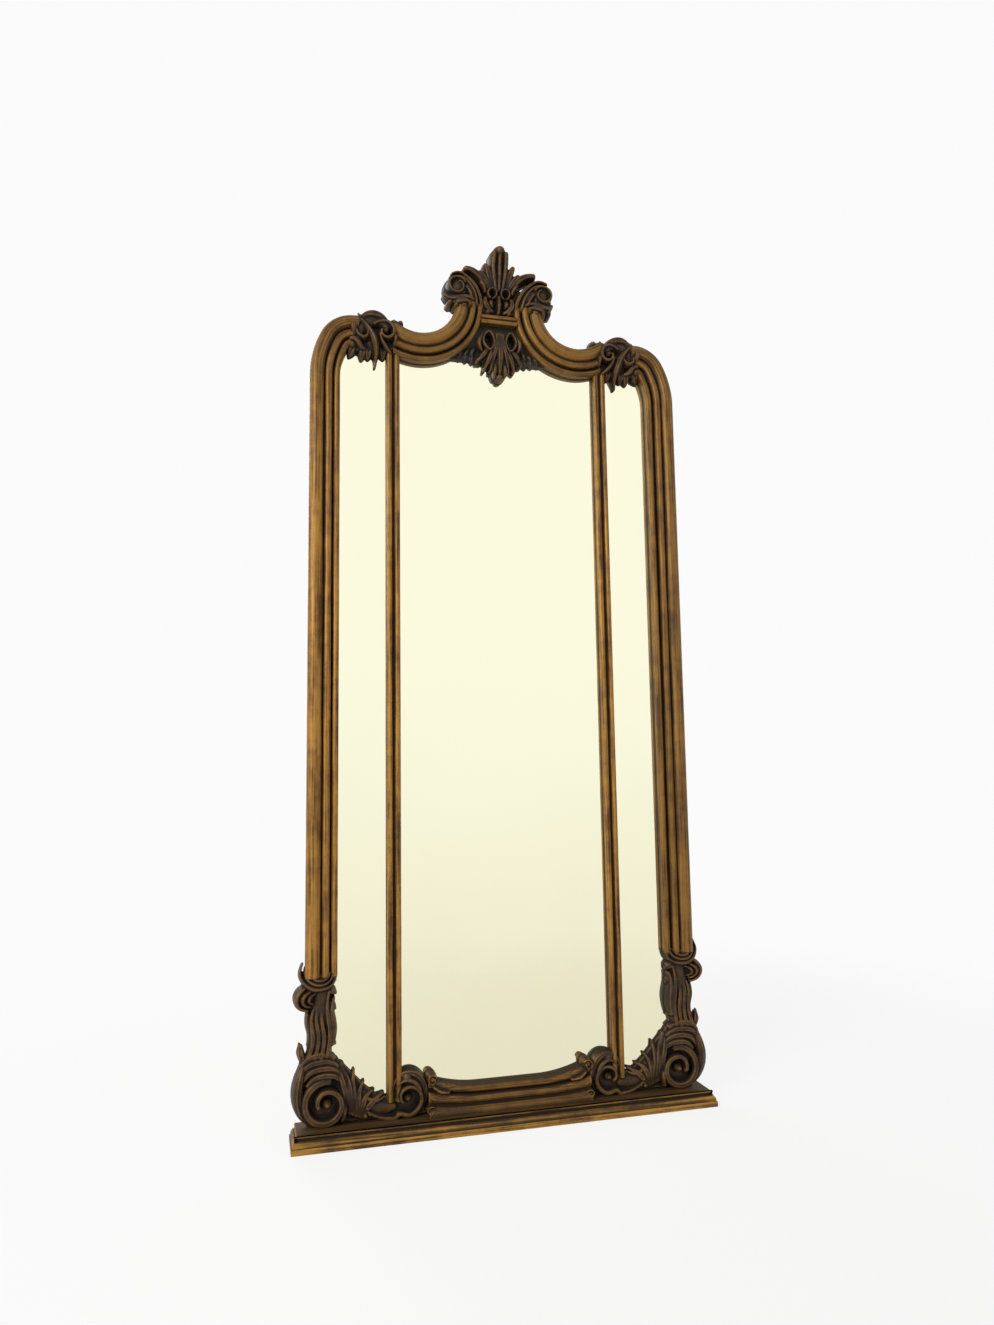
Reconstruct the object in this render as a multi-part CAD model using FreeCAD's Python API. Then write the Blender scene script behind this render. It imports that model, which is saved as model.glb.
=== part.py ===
import FreeCAD, Part
import math
import os

# A tall carved and gilded wall mirror on a plinth, in three plates.
# X runs to the viewer's right, +Y into the wall and +Z up. The origin is on the wall line,
# at the bottom middle of the plinth's back. All sizes are millimetres.

# Overall frame
FRAME_WIDTH = 788
FRAME_TOP = 1610
PLINTH_HEIGHT = 30
PLINTH_DEPTH = 80
PLINTH_OVERHANG = 27
WALL_GAP = 1
BOARD_THICKNESS = 6
CARCASS_THICKNESS = 14
GLASS_THICKNESS = 4

# Plinth moulding: lower fillet, ovolo, quirk and top bead
PLINTH_FILLET = 11
PLINTH_OVOLO = 11
PLINTH_OVOLO_DEPTH = 8.8
PLINTH_QUIRK = 3
PLINTH_STEP = 2

# Frame moulding, from the sight edge outwards
MOULDING_WIDTH = 58
RAIL_WIDTH = 47
INNER_BEAD = 13
GROOVE = 6
MIDDLE_BEAD = 11
QUIRK = 3
SIGHT_HEIGHT = 15
INNER_BEAD_HEIGHT = 21
REED_EDGE_HEIGHT = 15
GROOVE_FLOOR = 12.5
MIDDLE_BEAD_HEIGHT = 28
QUIRK_EDGE_HEIGHT = 24
QUIRK_FLOOR = 21
TORUS_HEIGHT = 33

# Stile, shoulder and swan neck
STILE_FOOT = 305
STILE_FOOT_ROUND = 14
SHOULDER_RUN = 86
SHOULDER_RISE = 130
SHOULDER_RADIUS = 72
CREST_GAP = 35
SWAN_RADIUS = 79
SWAN_LIFT = 57
SWAN_REACH = 50

# Bottom rail and mullions
RAIL_FLAT = 70
RAIL_SWEEP_RADIUS = 450
RAIL_END_CLEARANCE = 63
RAIL_KNOB = 11
RAIL_KNOB_HEIGHT = 27
MULLION_OFFSET = 5
MULLION_WIDTH = 27
MULLION_SIDE = 12
MULLION_HEIGHT = 17
MULLION_REED = 11
MULLION_FOOT = 62
MULLION_TOP = 1548

# Carcass, glass and boards behind
CARCASS_INSET = 3
SIGHT_LAP = 9
TOP_RAIL_NECK = 23
MULLION_BAR = 12
GLASS_PLAY = 0.5
BOARD_LAP = 14
BOARD_JOINT = 1
BLOCK_SIDE = 8
BLOCK_LENGTH = 40
BLOCK_PITCH = 370
CREST_BOARD_HALF = 70
CREST_BOARD_TOP = 1776
CREST_BOARD_TIP = 18

# Screws
SCREW_RADIUS = 1.75
SCREW_HEAD_RADIUS = 3.5
SCREW_HEAD_HEIGHT = 1.75
BOARD_SCREW_LENGTH = 15
BOARD_SCREW_PITCH = 370
SCREW_EDGE = 7
PLINTH_SCREW_LENGTH = 55
PLINTH_SCREW_SINK = 2

# Strap hangers and their D rings
HANGER_DROP = 182
STRAP_WIDTH = 14
STRAP_LENGTH = 46
STRAP_THICKNESS = 1.4
HANGER_SCREW_LENGTH = 11
HANGER_SCREW_PITCH = 20
HANGER_SCREW_END = 8
RING_WIRE = 1.75
RING_BEND = 4
RING_HALF_WIDTH = 11
RING_DROP = 12
KNUCKLE_PLAY = 0.3

# Crest and apron
CROSSBAR_BOTTOM = 1628
CROSSBAR_HEIGHT = 20
CROSSBAR_RELIEF = 24
APRON_THICKNESS = 7
APRON_EDGE = 1541
APRON_SCALLOP = 10
APRON_SCALLOPS = 6
APRON_RISE = 3
APRON_FIRST = 30
APRON_PITCH = 15.6

# Carved relief: height of the ground under the ribs and its ledge past them
GROUND = 12
GROUND_LEDGE = 1.5
LINE_SAMPLES = 9

# Carved scrolls: radius and angle at the start and the end, and how fast the radius falls off
CORNER_INSET = 36
CORNER_RISE = 39
CORNER_SCROLL = (43, 10, 111, -450)
CREST_SCROLL = (20, 8, 160, -170)
CREST_SCROLL_INSET = 82
CREST_SCROLL_LIFT = 27
FOOT_SCROLL = (33, 9, -90, -450, 2)
FOOT_SCROLL_INSET = 24
FOOT_SCROLL_RISE = 37
CLASP_SCROLL = (24, 9, 30, 330, 2)
SCROLL_STEP = 20

# Carved ribs: half widths at root, belly and tip, and height above the carcass
CORNER_SCROLL_RIB = ((8, 7.4, 5), 28)
CORNER_OUTER_RIB = ((3, 11, 6), 26)
CORNER_BODY_RIB = ((16, 20, 14), 18)
CORNER_WRAP_RIB = ((4, 6.5, 4), 26)
CORNER_SPRAY_RIB = ((6, 7.5, 2), 22)
STILE_LEAF_BODY_RIB = ((18, 22, 23), 18)
STILE_LEAF_CUP_RIB = ((3, 6, 3), 32)
STILE_LEAF_CURL_RIB = ((4, 5.5, 4), 28)
STILE_LEAF_RIB = ((3, 4.5, 4), 26)
STILE_LEAF_TIP_RIB = ((7, 8.5, 3.5), 20)
FOOT_CUP_RIB = ((3.5, 6, 6.5), 27)
FOOT_SCROLL_RIB = ((6.5, 6, 4.5), 27)
FOOT_BODY_RIB = ((8, 15, 11), 16)
FOOT_LIP_RIB = ((3, 6, 3), 19)
FOOT_HUMP_RIB = ((3, 6, 4), 24)
CLASP_BODY_RIB = ((8, 18, 11), 26)
CLASP_LEAF_RIB = ((5, 8, 4), 36)
CLASP_FRINGE_RIB = ((9, 10, 4.5), 20)
CLASP_SCROLL_RIB = ((4.5, 5.6, 4), 40)
CREST_REED_RIB = ((6.5, 7, 4), 34)
CREST_CUFF_RIB = ((5, 9, 5), 38)
CREST_SCROLL_RIB = ((5, 5.6, 4), 43)
CREST_MIDDLE_RIB = ((4, 5, 6.5), 38)
CREST_FLANK_RIB = ((4, 5, 6.5), 34)
CREST_LEAF_RIB = ((4.5, 6.5, 3), 28)
CREST_CHEEK_RIB = ((4, 5.5, 4), 24)
CREST_BODY_RIB = ((9, 13, 8), 20)
CREST_STEM_RIB = ((4.5, 7, 4.5), 26)
PENDANT_MIDDLE_RIB = ((7, 9, 4), 24)
PENDANT_LEAF_RIB = ((4, 6.5, 3.5), 20)
PENDANT_EYELET_RIB = ((4, 4.2, 4), 16)

# Round bosses: place from the carving's centre, radius and height
CORNER_EYE = (0, 0, 9, 33)
CORNER_DISC = (0, 0, 43, 13)
CORNER_BERRIES = [(-75, -28, 6.5, 18), (-79, -15, 5, 18), (-84, -26, 4.5, 18)]
STILE_LEAF_BALL = (29, -43, 17, 20)
FOOT_EYE = (0, 0, 8, 30)
FOOT_DISC = (0, 0, 33, 13)
FOOT_CROWN = (0, 36, 15, 19)
CLASP_BOSS = (0, 0, 6, 42)
CREST_BALL = (0, 0, 31, 36)
PENDANT_TIP = (0, -101, 9, 14)

# Carved leaves, as lines from each carving's own centre, outwards and up
CORNER_OUTER_LEAF = [(45, 108), (40, 83), (45, 53), (49, 23), (46, -7), (33, -27), (14, -35)]
CORNER_BODY = [(-24, 43), (-8, 65), (18, 69), (40, 47)]
CORNER_WRAPS = [
    [(-34, 29), (-22, 47), (-1, 53), (20, 48), (35, 32)],
    [(-32, 46), (-16, 62), (4, 66), (26, 60), (43, 41)],
    [(-27, 62), (-8, 76), (12, 78), (33, 71), (47, 53)],
    [(-20, 78), (-2, 88), (16, 90), (34, 83), (46, 68)],
]
CORNER_SPRAY = [
    [(-39, -23), (-38, 15), (-30, 47), (-21, 81)],
    [(-46, -26), (-47, 9), (-43, 37), (-35, 63)],
    [(-52, -28), (-54, 1), (-52, 29), (-54, 58)],
    [(-58, -31), (-61, -5), (-64, 17), (-74, 35)],
    [(-64, -33), (-69, -11), (-78, 8), (-94, 16)],
    [(-68, -35), (-77, -17), (-90, -3), (-112, 9)],
]
STILE_LEAF_INSET = 30
STILE_LEAF_BODY = [(2, -5), (2, -43), (3, -95), (4, -157)]
STILE_LEAF_CUP = [
    [(36, 21), (41, -1), (27, -20), (2, -26), (-19, -19), (-27, 2)],
    [(30, 15), (32, 0), (20, -13), (2, -17), (-14, -11), (-20, 4)],
]
STILE_LEAF_CURLS = [
    [(12, -20), (33, -24), (47, -41), (42, -59), (24, -67)],
    [(11, -29), (27, -33), (35, -43), (31, -53), (20, -58)],
]
STILE_LEAF_RIBS = [
    [(-22, -43), (-18, -69), (-22, -99), (-17, -133)],
    [(-13, -29), (-9, -62), (-14, -100), (-8, -155)],
    [(-4, -53), (1, -80), (-3, -109), (3, -157)],
    [(6, -55), (11, -79), (7, -109), (15, -157)],
    [(15, -61), (20, -83), (17, -109), (27, -155)],
]
STILE_LEAF_TIPS = [-13, -37, -65, -102, -129]
STILE_LEAF_TIP_RUN = [(-10, 14), (-18, 5), (-28, -4)]
FOOT_CUP = [(89, 3), (80, -15), (61, -28), (39, -34), (17, -34)]
FOOT_BODY = [(85, -3), (61, -15), (37, -17), (19, -13)]
FOOT_LIP = [(87, 13), (73, 3), (55, -1), (40, 5)]
FOOT_HUMPS = [
    [(28, 17), (18, 36), (0, 45), (-19, 39), (-32, 19), (-34, -5), (-24, -27)],
    [(23, 15), (13, 27), (0, 32), (-13, 28), (-22, 15), (-24, -3), (-17, -21)],
]
CLASP_DROP = 35
CLASP_EYE = (-21, 7)
CLASP_BODY = [
    [(35, -27), (31, 5), (15, 27), (-15, 27), (-29, 9)],
    [(5, 15), (3, -15), (1, -43)],
]
CLASP_LEAVES = [
    [(35, 23), (21, 39), (3, 42), (-15, 37), (-30, 22)],
    [(39, 15), (33, 33), (35, 51)],
    [(-23, 23), (-37, 28), (-51, 32)],
    [(33, 31), (15, 10), (3, -13), (-2, -37), (0, -65)],
    [(39, 11), (36, -5), (23, -11), (16, -1), (21, 10)],
    [(43, -14), (31, -16), (20, -28), (8, -31)],
    [(-8, 4), (-12, -11), (-23, -26), (-36, -35)],
]
CLASP_FRINGE = [
    [(39, -17), (47, -32), (54, -47)],
    [(21, -19), (25, -34), (28, -52)],
    [(-13, -19), (-16, -31), (-18, -46)],
]
CREST_REEDS = [
    [(-53, -36), (-49, -14), (-37, 10), (-20, 27), (-2, 35), (18, 28)],
    [(-41, -32), (-36, -11), (-25, 8), (-10, 20), (7, 22)],
]
CREST_CUFF = [(-36, -22), (-18, -18), (2, -23), (22, -20), (31, -8)]
CREST_MIDDLE_RIBS = [
    [(0, 52), (0, 86), (0, 120), (0, 144)],
    [(6, 50), (12, 86), (14, 116), (11, 139)],
]
CREST_LEAVES = [
    [(12, 56), (21, 86), (29, 109), (39, 118)],
    [(18, 54), (30, 78), (41, 95), (52, 101)],
    [(23, 52), (38, 78), (58, 95), (86, 94)],
    [(28, 48), (35, 64), (46, 77)],
]
CREST_CHEEKS = [
    [(27, 44), (30, 28), (23, 14), (9, 8)],
    [(14, 37), (17, 26), (12, 17)],
]
CREST_STEM = [(0, 2), (0, 20), (0, 46)]
CREST_EYELET = (14.5, 49)
CREST_EYELET_RADIUS = 6
CREST_BODY = [
    [(0, 58), (0, 92), (0, 142)],
    [(20, 6), (26, 30), (22, 56)],
    [(26, 56), (42, 78), (74, 90)],
]
PENDANT_TOP = 1612
PENDANT_GROUND = 4
PENDANT_MIDDLE = [(0, -2), (0, -40), (0, -78), (0, -108)]
PENDANT_LEAVES = [
    [(6, -4), (9, -38), (15, -64), (20, -89)],
    [(14, -36), (22, -59), (28, -74), (34, -87)],
    [(24, -38), (34, -53), (42, -63), (52, -69)],
]
PENDANT_EYELET = [(20, -7), (31, -8), (36, -24), (25, -41), (14, -34), (13, -18)]

V = FreeCAD.Vector
UP = V(0, 0, 1)
INTO_WALL = V(0, 1, 0)
TO_VIEWER = V(0, -1, 0)
CENTRE_PLANE = V(1, 0, 0)
FAR = 3000

# Places that follow from the sizes above
half_width = FRAME_WIDTH / 2
sight_x = half_width - MOULDING_WIDTH
board_back = -WALL_GAP
carcass_back = board_back - BOARD_THICKNESS
face = carcass_back - CARCASS_THICKNESS
spring = FRAME_TOP - SHOULDER_RISE
shoulder_end = half_width - SHOULDER_RUN
swan_x = CREST_GAP + MOULDING_WIDTH + SWAN_RADIUS
swan_z = FRAME_TOP + SWAN_LIFT
swan_end = swan_x + SWAN_REACH
swan_sight = SWAN_RADIUS + MOULDING_WIDTH
mullion_x = swan_end + MULLION_OFFSET
rail_half = mullion_x - RAIL_END_CLEARANCE
carcass_x = half_width - CARCASS_INSET
opening_x = sight_x + SIGHT_LAP
opening_bottom = PLINTH_HEIGHT + RAIL_WIDTH - SIGHT_LAP
opening_top = swan_z - SWAN_RADIUS - CARCASS_INSET - TOP_RAIL_NECK
top_rail_top = FRAME_TOP - CARCASS_INSET
crossbar_top = CROSSBAR_BOTTOM + CROSSBAR_HEIGHT
board_x = opening_x + BOARD_LAP
board_bottom = opening_bottom - BOARD_LAP
board_top = opening_top + BOARD_LAP
hanger_x = (board_x + carcass_x) / 2
hanger_z = opening_top - HANGER_DROP
knuckle_inner = RING_WIRE + KNUCKLE_PLAY
knuckle_outer = knuckle_inner + STRAP_THICKNESS
knuckle_y = carcass_back + knuckle_outer


# Plain solids

def block(x0, x1, y0, y1, z0, z1):
    return Part.makeBox(x1 - x0, y1 - y0, z1 - z0, V(x0, y0, z0))


def rod(x, z, radius, y_back, y_front):
    """Round bar along Y at (x, z)."""
    return Part.makeCylinder(radius, y_back - y_front, V(x, y_back, z), TO_VIEWER)


def slab(outline, y_back, thickness):
    """Board sawn to a closed outline of (x, z) points."""
    corners = [V(x, y_back, z) for x, z in outline]
    return Part.Face(Part.makePolygon(corners + corners[:1])).extrude(TO_VIEWER * thickness)


def join(pieces):
    """One solid from pieces that run into each other."""
    solids = pieces[0].multiFuse(pieces[1:]).removeSplitter().Solids
    return solids[0] if len(solids) == 1 else Part.makeCompound(solids)


def trimmed(shape, *tools):
    """What stays of a piece when its neighbours are cut away from it."""
    for tool in tools:
        shape = shape.cut(tool)
    return max(shape.Solids, key=lambda solid: solid.Volume)


def other_side(shape):
    return shape.mirror(V(0, 0, 0), CENTRE_PLANE)


def edge(*points):
    """Arc through three points, or a line between two."""
    if len(points) == 3:
        return Part.Arc(*points).toShape()
    return Part.LineSegment(*points).toShape()


# Carved forms

def smooth_line(points, count):
    """Evenly spread points on a smooth curve through a few chosen ones."""
    curve = Part.BSplineCurve()
    curve.interpolate([V(x, 0, z) for x, z in points])
    span = curve.LastParameter - curve.FirstParameter
    steps = [curve.FirstParameter + span * i / (count - 1) for i in range(count)]
    return [curve.value(step) for step in steps]


def spiral_line(radius, end_radius, angle, end_angle, power=1):
    """Points of a spiral about its own eye, angles in degrees from outwards to up."""
    count = round(abs(end_angle - angle) / SCROLL_STEP) + 1
    points = []
    for i in range(count):
        share = i / (count - 1)
        turn = math.radians(angle + (end_angle - angle) * share)
        reach = end_radius + (radius - end_radius) * (1 - share) ** power
        points.append(V(reach * math.cos(turn), 0, reach * math.sin(turn)))
    return points


def swell(root, belly, tip, share):
    """Size that goes from root to belly to tip along a leaf."""
    start, end, part = (root, belly, share * 2) if share < 0.5 else (belly, tip, share * 2 - 1)
    return start + (end - start) * (1 - math.cos(math.pi * part)) / 2


def rib(points, anchor, half_widths, height):
    """A carved rib: samples (x, z, half width) along a line, sized at root, belly and tip, and its height."""
    last = len(points) - 1
    samples = [(anchor[0] + point.x, anchor[1] + point.z, swell(*half_widths, i / last))
               for i, point in enumerate(points)]
    return samples, height


def leaf(line, anchor, half_widths, height):
    return rib(smooth_line(line, LINE_SAMPLES), anchor, half_widths, height)


def boss(anchor, x, z, radius, height):
    """A round boss is a rib with one sample."""
    return [(anchor[0] + x, anchor[1] + z, radius)], height


def mirrored(ribs):
    return [([(-x, z, half) for x, z, half in samples], height) for samples, height in ribs]


def spline(points):
    curve = Part.BSplineCurve()
    curve.interpolate(points)
    return curve.toShape()


def footprint(samples, ledge):
    """Flat face under a rib on the plane y = 0, round at both ends and a ledge wider than the rib."""
    if len(samples) == 1:
        x, z, radius = samples[0]
        return Part.Face(Part.Wire(Part.makeCircle(radius + ledge, V(x, 0, z), INTO_WALL)))
    last = len(samples) - 1
    left, right, ends = [], [], []
    for i, (x, z, half) in enumerate(samples):
        before, after = samples[max(i - 1, 0)], samples[min(i + 1, last)]
        along = V(after[0] - before[0], 0, after[1] - before[1]).normalize() * (half + ledge)
        left.append(V(x - along.z, 0, z + along.x))
        right.append(V(x + along.z, 0, z - along.x))
        ends.append((V(x, 0, z), along))
    tip = ends[-1][0] + ends[-1][1]
    root = ends[0][0] - ends[0][1]
    return Part.Face(Part.Wire([spline(left), edge(left[-1], tip, right[-1]),
                                spline(right[::-1]), edge(right[0], root, left[0])]))


def pad(faces, y_back, thickness):
    """Solid over flat faces that run into each other, from y_back towards the viewer."""
    flat = faces[0].multiFuse(faces[1:]).removeSplitter() if len(faces) > 1 else faces[0].copy()
    flat.translate(INTO_WALL * y_back)
    return [one.extrude(TO_VIEWER * thickness) for one in flat.Faces]


def ground_outline(ribs):
    """Flat face round all the ribs, with no holes."""
    faces = [footprint(samples, GROUND_LEDGE) for samples, _ in ribs]
    flat = faces[0].multiFuse(faces[1:]).removeSplitter()
    return Part.Face(max(flat.Faces, key=lambda one: one.Area).OuterWire)


def carved(ribs, outline, base, ground, *neighbours):
    """Ribs in layers on a common ground, cut back where the neighbours stand."""
    pieces = pad([outline], base, ground)
    for level in sorted({height for _, height in ribs}):
        faces = [footprint(samples, 0) for samples, height in ribs if height == level]
        pieces += pad(faces, base - ground, level - ground)
    return trimmed(join(pieces), *neighbours)


def button(x, z, radius, height, base):
    """Round boss with a half-round end, on the plane y = base."""
    foot = V(x + radius, base, z)
    rim_y = base - height + radius
    rim = V(x + radius, rim_y, z)
    shoulder = V(x + radius * math.sin(math.pi / 4), rim_y - radius * math.sin(math.pi / 4), z)
    crown = V(x, base - height, z)
    centre = V(x, base, z)
    half_section = Part.Wire([edge(foot, rim), edge(rim, shoulder, crown), edge(crown, centre),
                              edge(centre, foot)])
    return Part.Face(half_section).revolve(centre, TO_VIEWER, 360)


# Frame mouldings

def moulding_face(width, outer, inwards):
    """Moulding section standing on the carcass at a point of its outer edge, upright where its torus ends."""
    def at(from_sight, height):
        return outer + inwards * (width - from_sight) + V(0, face - height, 0)

    groove_end = INNER_BEAD + GROOVE
    bead_end = groove_end + MIDDLE_BEAD
    torus_start = bead_end + QUIRK
    torus = width - torus_start
    edge_height = QUIRK_EDGE_HEIGHT - torus + math.sqrt(2 * torus * (TORUS_HEIGHT - QUIRK_EDGE_HEIGHT))
    torus_radius = TORUS_HEIGHT - edge_height
    sight = at(0, SIGHT_HEIGHT)
    inner_reed = at(INNER_BEAD, REED_EDGE_HEIGHT)
    middle_reed = at(groove_end, REED_EDGE_HEIGHT)
    quirk_inner = at(bead_end, QUIRK_EDGE_HEIGHT)
    quirk_floor = at(bead_end + QUIRK / 2, QUIRK_FLOOR)
    quirk_outer = at(torus_start, QUIRK_EDGE_HEIGHT)
    outer_edge = at(width, edge_height)
    return Part.Face(Part.Wire([
        edge(at(0, 0), sight),
        edge(sight, at(INNER_BEAD / 2, INNER_BEAD_HEIGHT), inner_reed),
        edge(inner_reed, at(INNER_BEAD + GROOVE / 2, GROOVE_FLOOR), middle_reed),
        edge(middle_reed, at(groove_end + MIDDLE_BEAD / 2, MIDDLE_BEAD_HEIGHT), quirk_inner),
        edge(quirk_inner, quirk_floor),
        edge(quirk_floor, quirk_outer),
        edge(quirk_outer, at(width - torus_radius, TORUS_HEIGHT), outer_edge),
        edge(outer_edge, at(width, 0)),
        edge(at(width, 0), at(0, 0)),
    ]))


def shoulder_arcs():
    """Large and small arc of the shoulder, as (centre, start angle, sweep)."""
    drop = SHOULDER_RISE - SHOULDER_RADIUS
    large = SHOULDER_RUN ** 2 + drop ** 2 - SHOULDER_RADIUS ** 2
    large /= 2 * (SHOULDER_RUN - SHOULDER_RADIUS)
    turn = math.degrees(math.atan2(drop, large - SHOULDER_RUN))
    large_centre = V(half_width - large, 0, spring)
    small_centre = V(shoulder_end, 0, FRAME_TOP - SHOULDER_RADIUS)
    return large_centre, small_centre, turn


def make_stile():
    """Straight moulding with a rounded foot, turned over the shoulder."""
    large_centre, small_centre, turn = shoulder_arcs()
    section = moulding_face(MOULDING_WIDTH, V(half_width, 0, spring), V(-1, 0, 0))
    straight = section.extrude(UP * (STILE_FOOT - spring))
    large_arc = section.revolve(large_centre, TO_VIEWER, turn)
    turned = section.copy()
    turned.rotate(large_centre, TO_VIEWER, turn)
    small_arc = turned.revolve(small_centre, TO_VIEWER, 90 - turn)
    stile = join([straight, large_arc, small_arc])
    corner = block(-FAR, FAR, -FAR, FAR, -FAR, STILE_FOOT + STILE_FOOT_ROUND)
    corner = corner.common(block(sight_x, sight_x + STILE_FOOT_ROUND, -FAR, FAR, 0, FAR))
    round_end = rod(sight_x + STILE_FOOT_ROUND, STILE_FOOT + STILE_FOOT_ROUND, STILE_FOOT_ROUND, FAR, -FAR)
    return trimmed(stile, corner.cut(round_end))


def make_swan_neck():
    """Moulding that dips and rises round one centre, cut square at the clasp."""
    centre = V(swan_x, 0, swan_z)
    section = moulding_face(MOULDING_WIDTH, V(swan_x - SWAN_RADIUS, 0, swan_z), V(-1, 0, 0))
    past_dip = math.degrees(math.asin(SWAN_REACH / SWAN_RADIUS)) + 1
    sweep = section.revolve(centre, TO_VIEWER, 90 + past_dip)
    return trimmed(sweep, block(swan_end, FAR, -FAR, FAR, 0, FAR))


def make_bottom_rail():
    """Short rail moulding whose ends sweep up into knobs."""
    section = moulding_face(RAIL_WIDTH, V(RAIL_FLAT, 0, PLINTH_HEIGHT), UP)
    middle = section.extrude(V(-2 * RAIL_FLAT, 0, 0))
    sweep_centre = V(RAIL_FLAT, 0, PLINTH_HEIGHT + RAIL_SWEEP_RADIUS)
    reach = rail_half - RAIL_FLAT
    turn = math.degrees(math.asin(reach / RAIL_SWEEP_RADIUS))
    sweep = section.revolve(sweep_centre, TO_VIEWER, turn)
    knob_x = rail_half - RAIL_KNOB
    upper = PLINTH_HEIGHT + RAIL_WIDTH + RAIL_KNOB
    lower = PLINTH_HEIGHT + RAIL_KNOB
    knobs = [button(knob_x, z, RAIL_KNOB, RAIL_KNOB_HEIGHT, face) for z in (upper, lower)]
    side = join([sweep] + knobs)
    return join([middle, side, other_side(side)])


def make_mullion():
    """Thin bar with two reeds, scribed to the swan neck at its top."""
    outer = MULLION_WIDTH / 2

    def at(x, height):
        return V(mullion_x + x, face - height, MULLION_FOOT)

    reeds = [(-outer, -outer + MULLION_REED), (outer - MULLION_REED, outer)]
    edges = [edge(at(-outer, 0), at(-outer, MULLION_SIDE))]
    for start, end in reeds:
        crown = at((start + end) / 2, MULLION_HEIGHT)
        edges.append(edge(at(start, MULLION_SIDE), crown, at(end, MULLION_SIDE)))
    edges.insert(2, edge(at(reeds[0][1], MULLION_SIDE), at(reeds[1][0], MULLION_SIDE)))
    edges.append(edge(at(outer, MULLION_SIDE), at(outer, 0)))
    edges.append(edge(at(outer, 0), at(-outer, 0)))
    bar = Part.Face(Part.Wire(edges)).extrude(UP * (MULLION_TOP - MULLION_FOOT))
    scribe = rod(swan_x, swan_z, swan_sight, FAR, -FAR)
    return trimmed(bar, scribe.cut(block(swan_end, FAR, -FAR, FAR, 0, FAR)))


def make_plinth():
    """Moulded shelf: the front section met by the same section on both ends."""
    step = PLINTH_STEP
    ovolo_top = PLINTH_FILLET + PLINTH_OVOLO
    bead_bottom = ovolo_top + PLINTH_QUIRK
    bead_middle = (bead_bottom + PLINTH_HEIGHT) / 2
    deep = PLINTH_OVOLO_DEPTH + step
    curve = math.sin(math.pi / 4)
    half = half_width + PLINTH_OVERHANG

    def section(at, far_bottom, far_top):
        """Half section from the outer face inwards, closed at the far side."""
        fillet_top = at(0, PLINTH_FILLET)
        ovolo_foot = at(step, PLINTH_FILLET)
        ovolo_belly = at(step + (deep - step) * (1 - curve), PLINTH_FILLET + PLINTH_OVOLO * curve)
        ovolo_crown = at(deep, ovolo_top)
        quirk_top = at(deep, bead_bottom)
        bead_crown = at(deep, PLINTH_HEIGHT)
        return Part.Face(Part.Wire([
            edge(at(0, 0), fillet_top),
            edge(fillet_top, ovolo_foot),
            edge(ovolo_foot, ovolo_belly, ovolo_crown),
            edge(ovolo_crown, quirk_top),
            edge(quirk_top, at(deep - step, bead_middle), bead_crown),
            edge(bead_crown, far_top),
            edge(far_top, far_bottom),
            edge(far_bottom, at(0, 0)),
        ]))

    front = section(lambda i, z: V(-half, -PLINTH_DEPTH + i, z), V(-half, 0, 0), V(-half, 0, PLINTH_HEIGHT))
    right = section(lambda i, z: V(half - i, -PLINTH_DEPTH, z), V(0, -PLINTH_DEPTH, 0),
                    V(0, -PLINTH_DEPTH, PLINTH_HEIGHT))
    end = right.extrude(INTO_WALL * PLINTH_DEPTH)
    ends = join([end, other_side(end)])
    return front.extrude(V(2 * half, 0, 0)).common(ends)


# Carcass behind the mouldings

def carcass_envelope():
    """Outline of the frame, set in from the mouldings' outer edge."""
    large_centre, small_centre, turn = shoulder_arcs()
    large = half_width - large_centre.x - CARCASS_INSET
    small = SHOULDER_RADIUS - CARCASS_INSET

    def on(centre, radius, angle):
        return centre + V(math.cos(math.radians(angle)), 0, math.sin(math.radians(angle))) * radius

    foot = V(carcass_x, 0, PLINTH_HEIGHT)
    start = V(carcass_x, 0, spring)
    joint = on(large_centre, large, turn)
    top = on(small_centre, small, 90)
    side = Part.Face(Part.Wire([
        edge(V(0, 0, PLINTH_HEIGHT), foot),
        edge(foot, start),
        edge(start, on(large_centre, large, turn / 2), joint),
        edge(joint, on(small_centre, small, (turn + 90) / 2), top),
        edge(top, V(0, 0, top_rail_top)),
        edge(V(0, 0, top_rail_top), V(0, 0, PLINTH_HEIGHT)),
    ]))
    side.translate(INTO_WALL * carcass_back)
    solid = side.extrude(TO_VIEWER * CARCASS_THICKNESS)
    return join([solid, other_side(solid)])


def swan_hollows():
    """The two rounds above the dips, where no board may show."""
    hollow = rod(swan_x, swan_z, SWAN_RADIUS + CARCASS_INSET, FAR, -FAR)
    return [hollow, other_side(hollow)]


def make_carcass():
    envelope = carcass_envelope()
    stile = envelope.common(block(opening_x, FAR, -FAR, FAR, 0, opening_top))
    bottom = envelope.common(block(-opening_x, opening_x, -FAR, FAR, 0, opening_bottom))
    top = envelope.common(block(-FAR, FAR, -FAR, FAR, opening_top, FAR))
    top = trimmed(top, *swan_hollows())
    bar = block(mullion_x - MULLION_BAR / 2, mullion_x + MULLION_BAR / 2, face, carcass_back,
                opening_bottom, opening_top)
    return stile, bottom, top, bar


def make_crest_board():
    """Shaped board that carries the crest, standing on the top rail."""
    scroll_z = swan_z + CREST_SCROLL_LIFT
    side = slab([(0, top_rail_top), (CREST_BOARD_HALF, top_rail_top), (CREST_BOARD_HALF, scroll_z),
                 (CREST_BOARD_TIP, CREST_BOARD_TOP), (0, CREST_BOARD_TOP)], carcass_back, CARCASS_THICKNESS)
    scroll_x = swan_x - CREST_SCROLL_INSET
    ear = rod(scroll_x, scroll_z, CREST_BALL[2] - CARCASS_INSET, carcass_back, face)
    side = join([side, ear])
    side = trimmed(side, *[hollow.cut(ear) for hollow in swan_hollows()])
    return join([side, other_side(side)])


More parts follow.
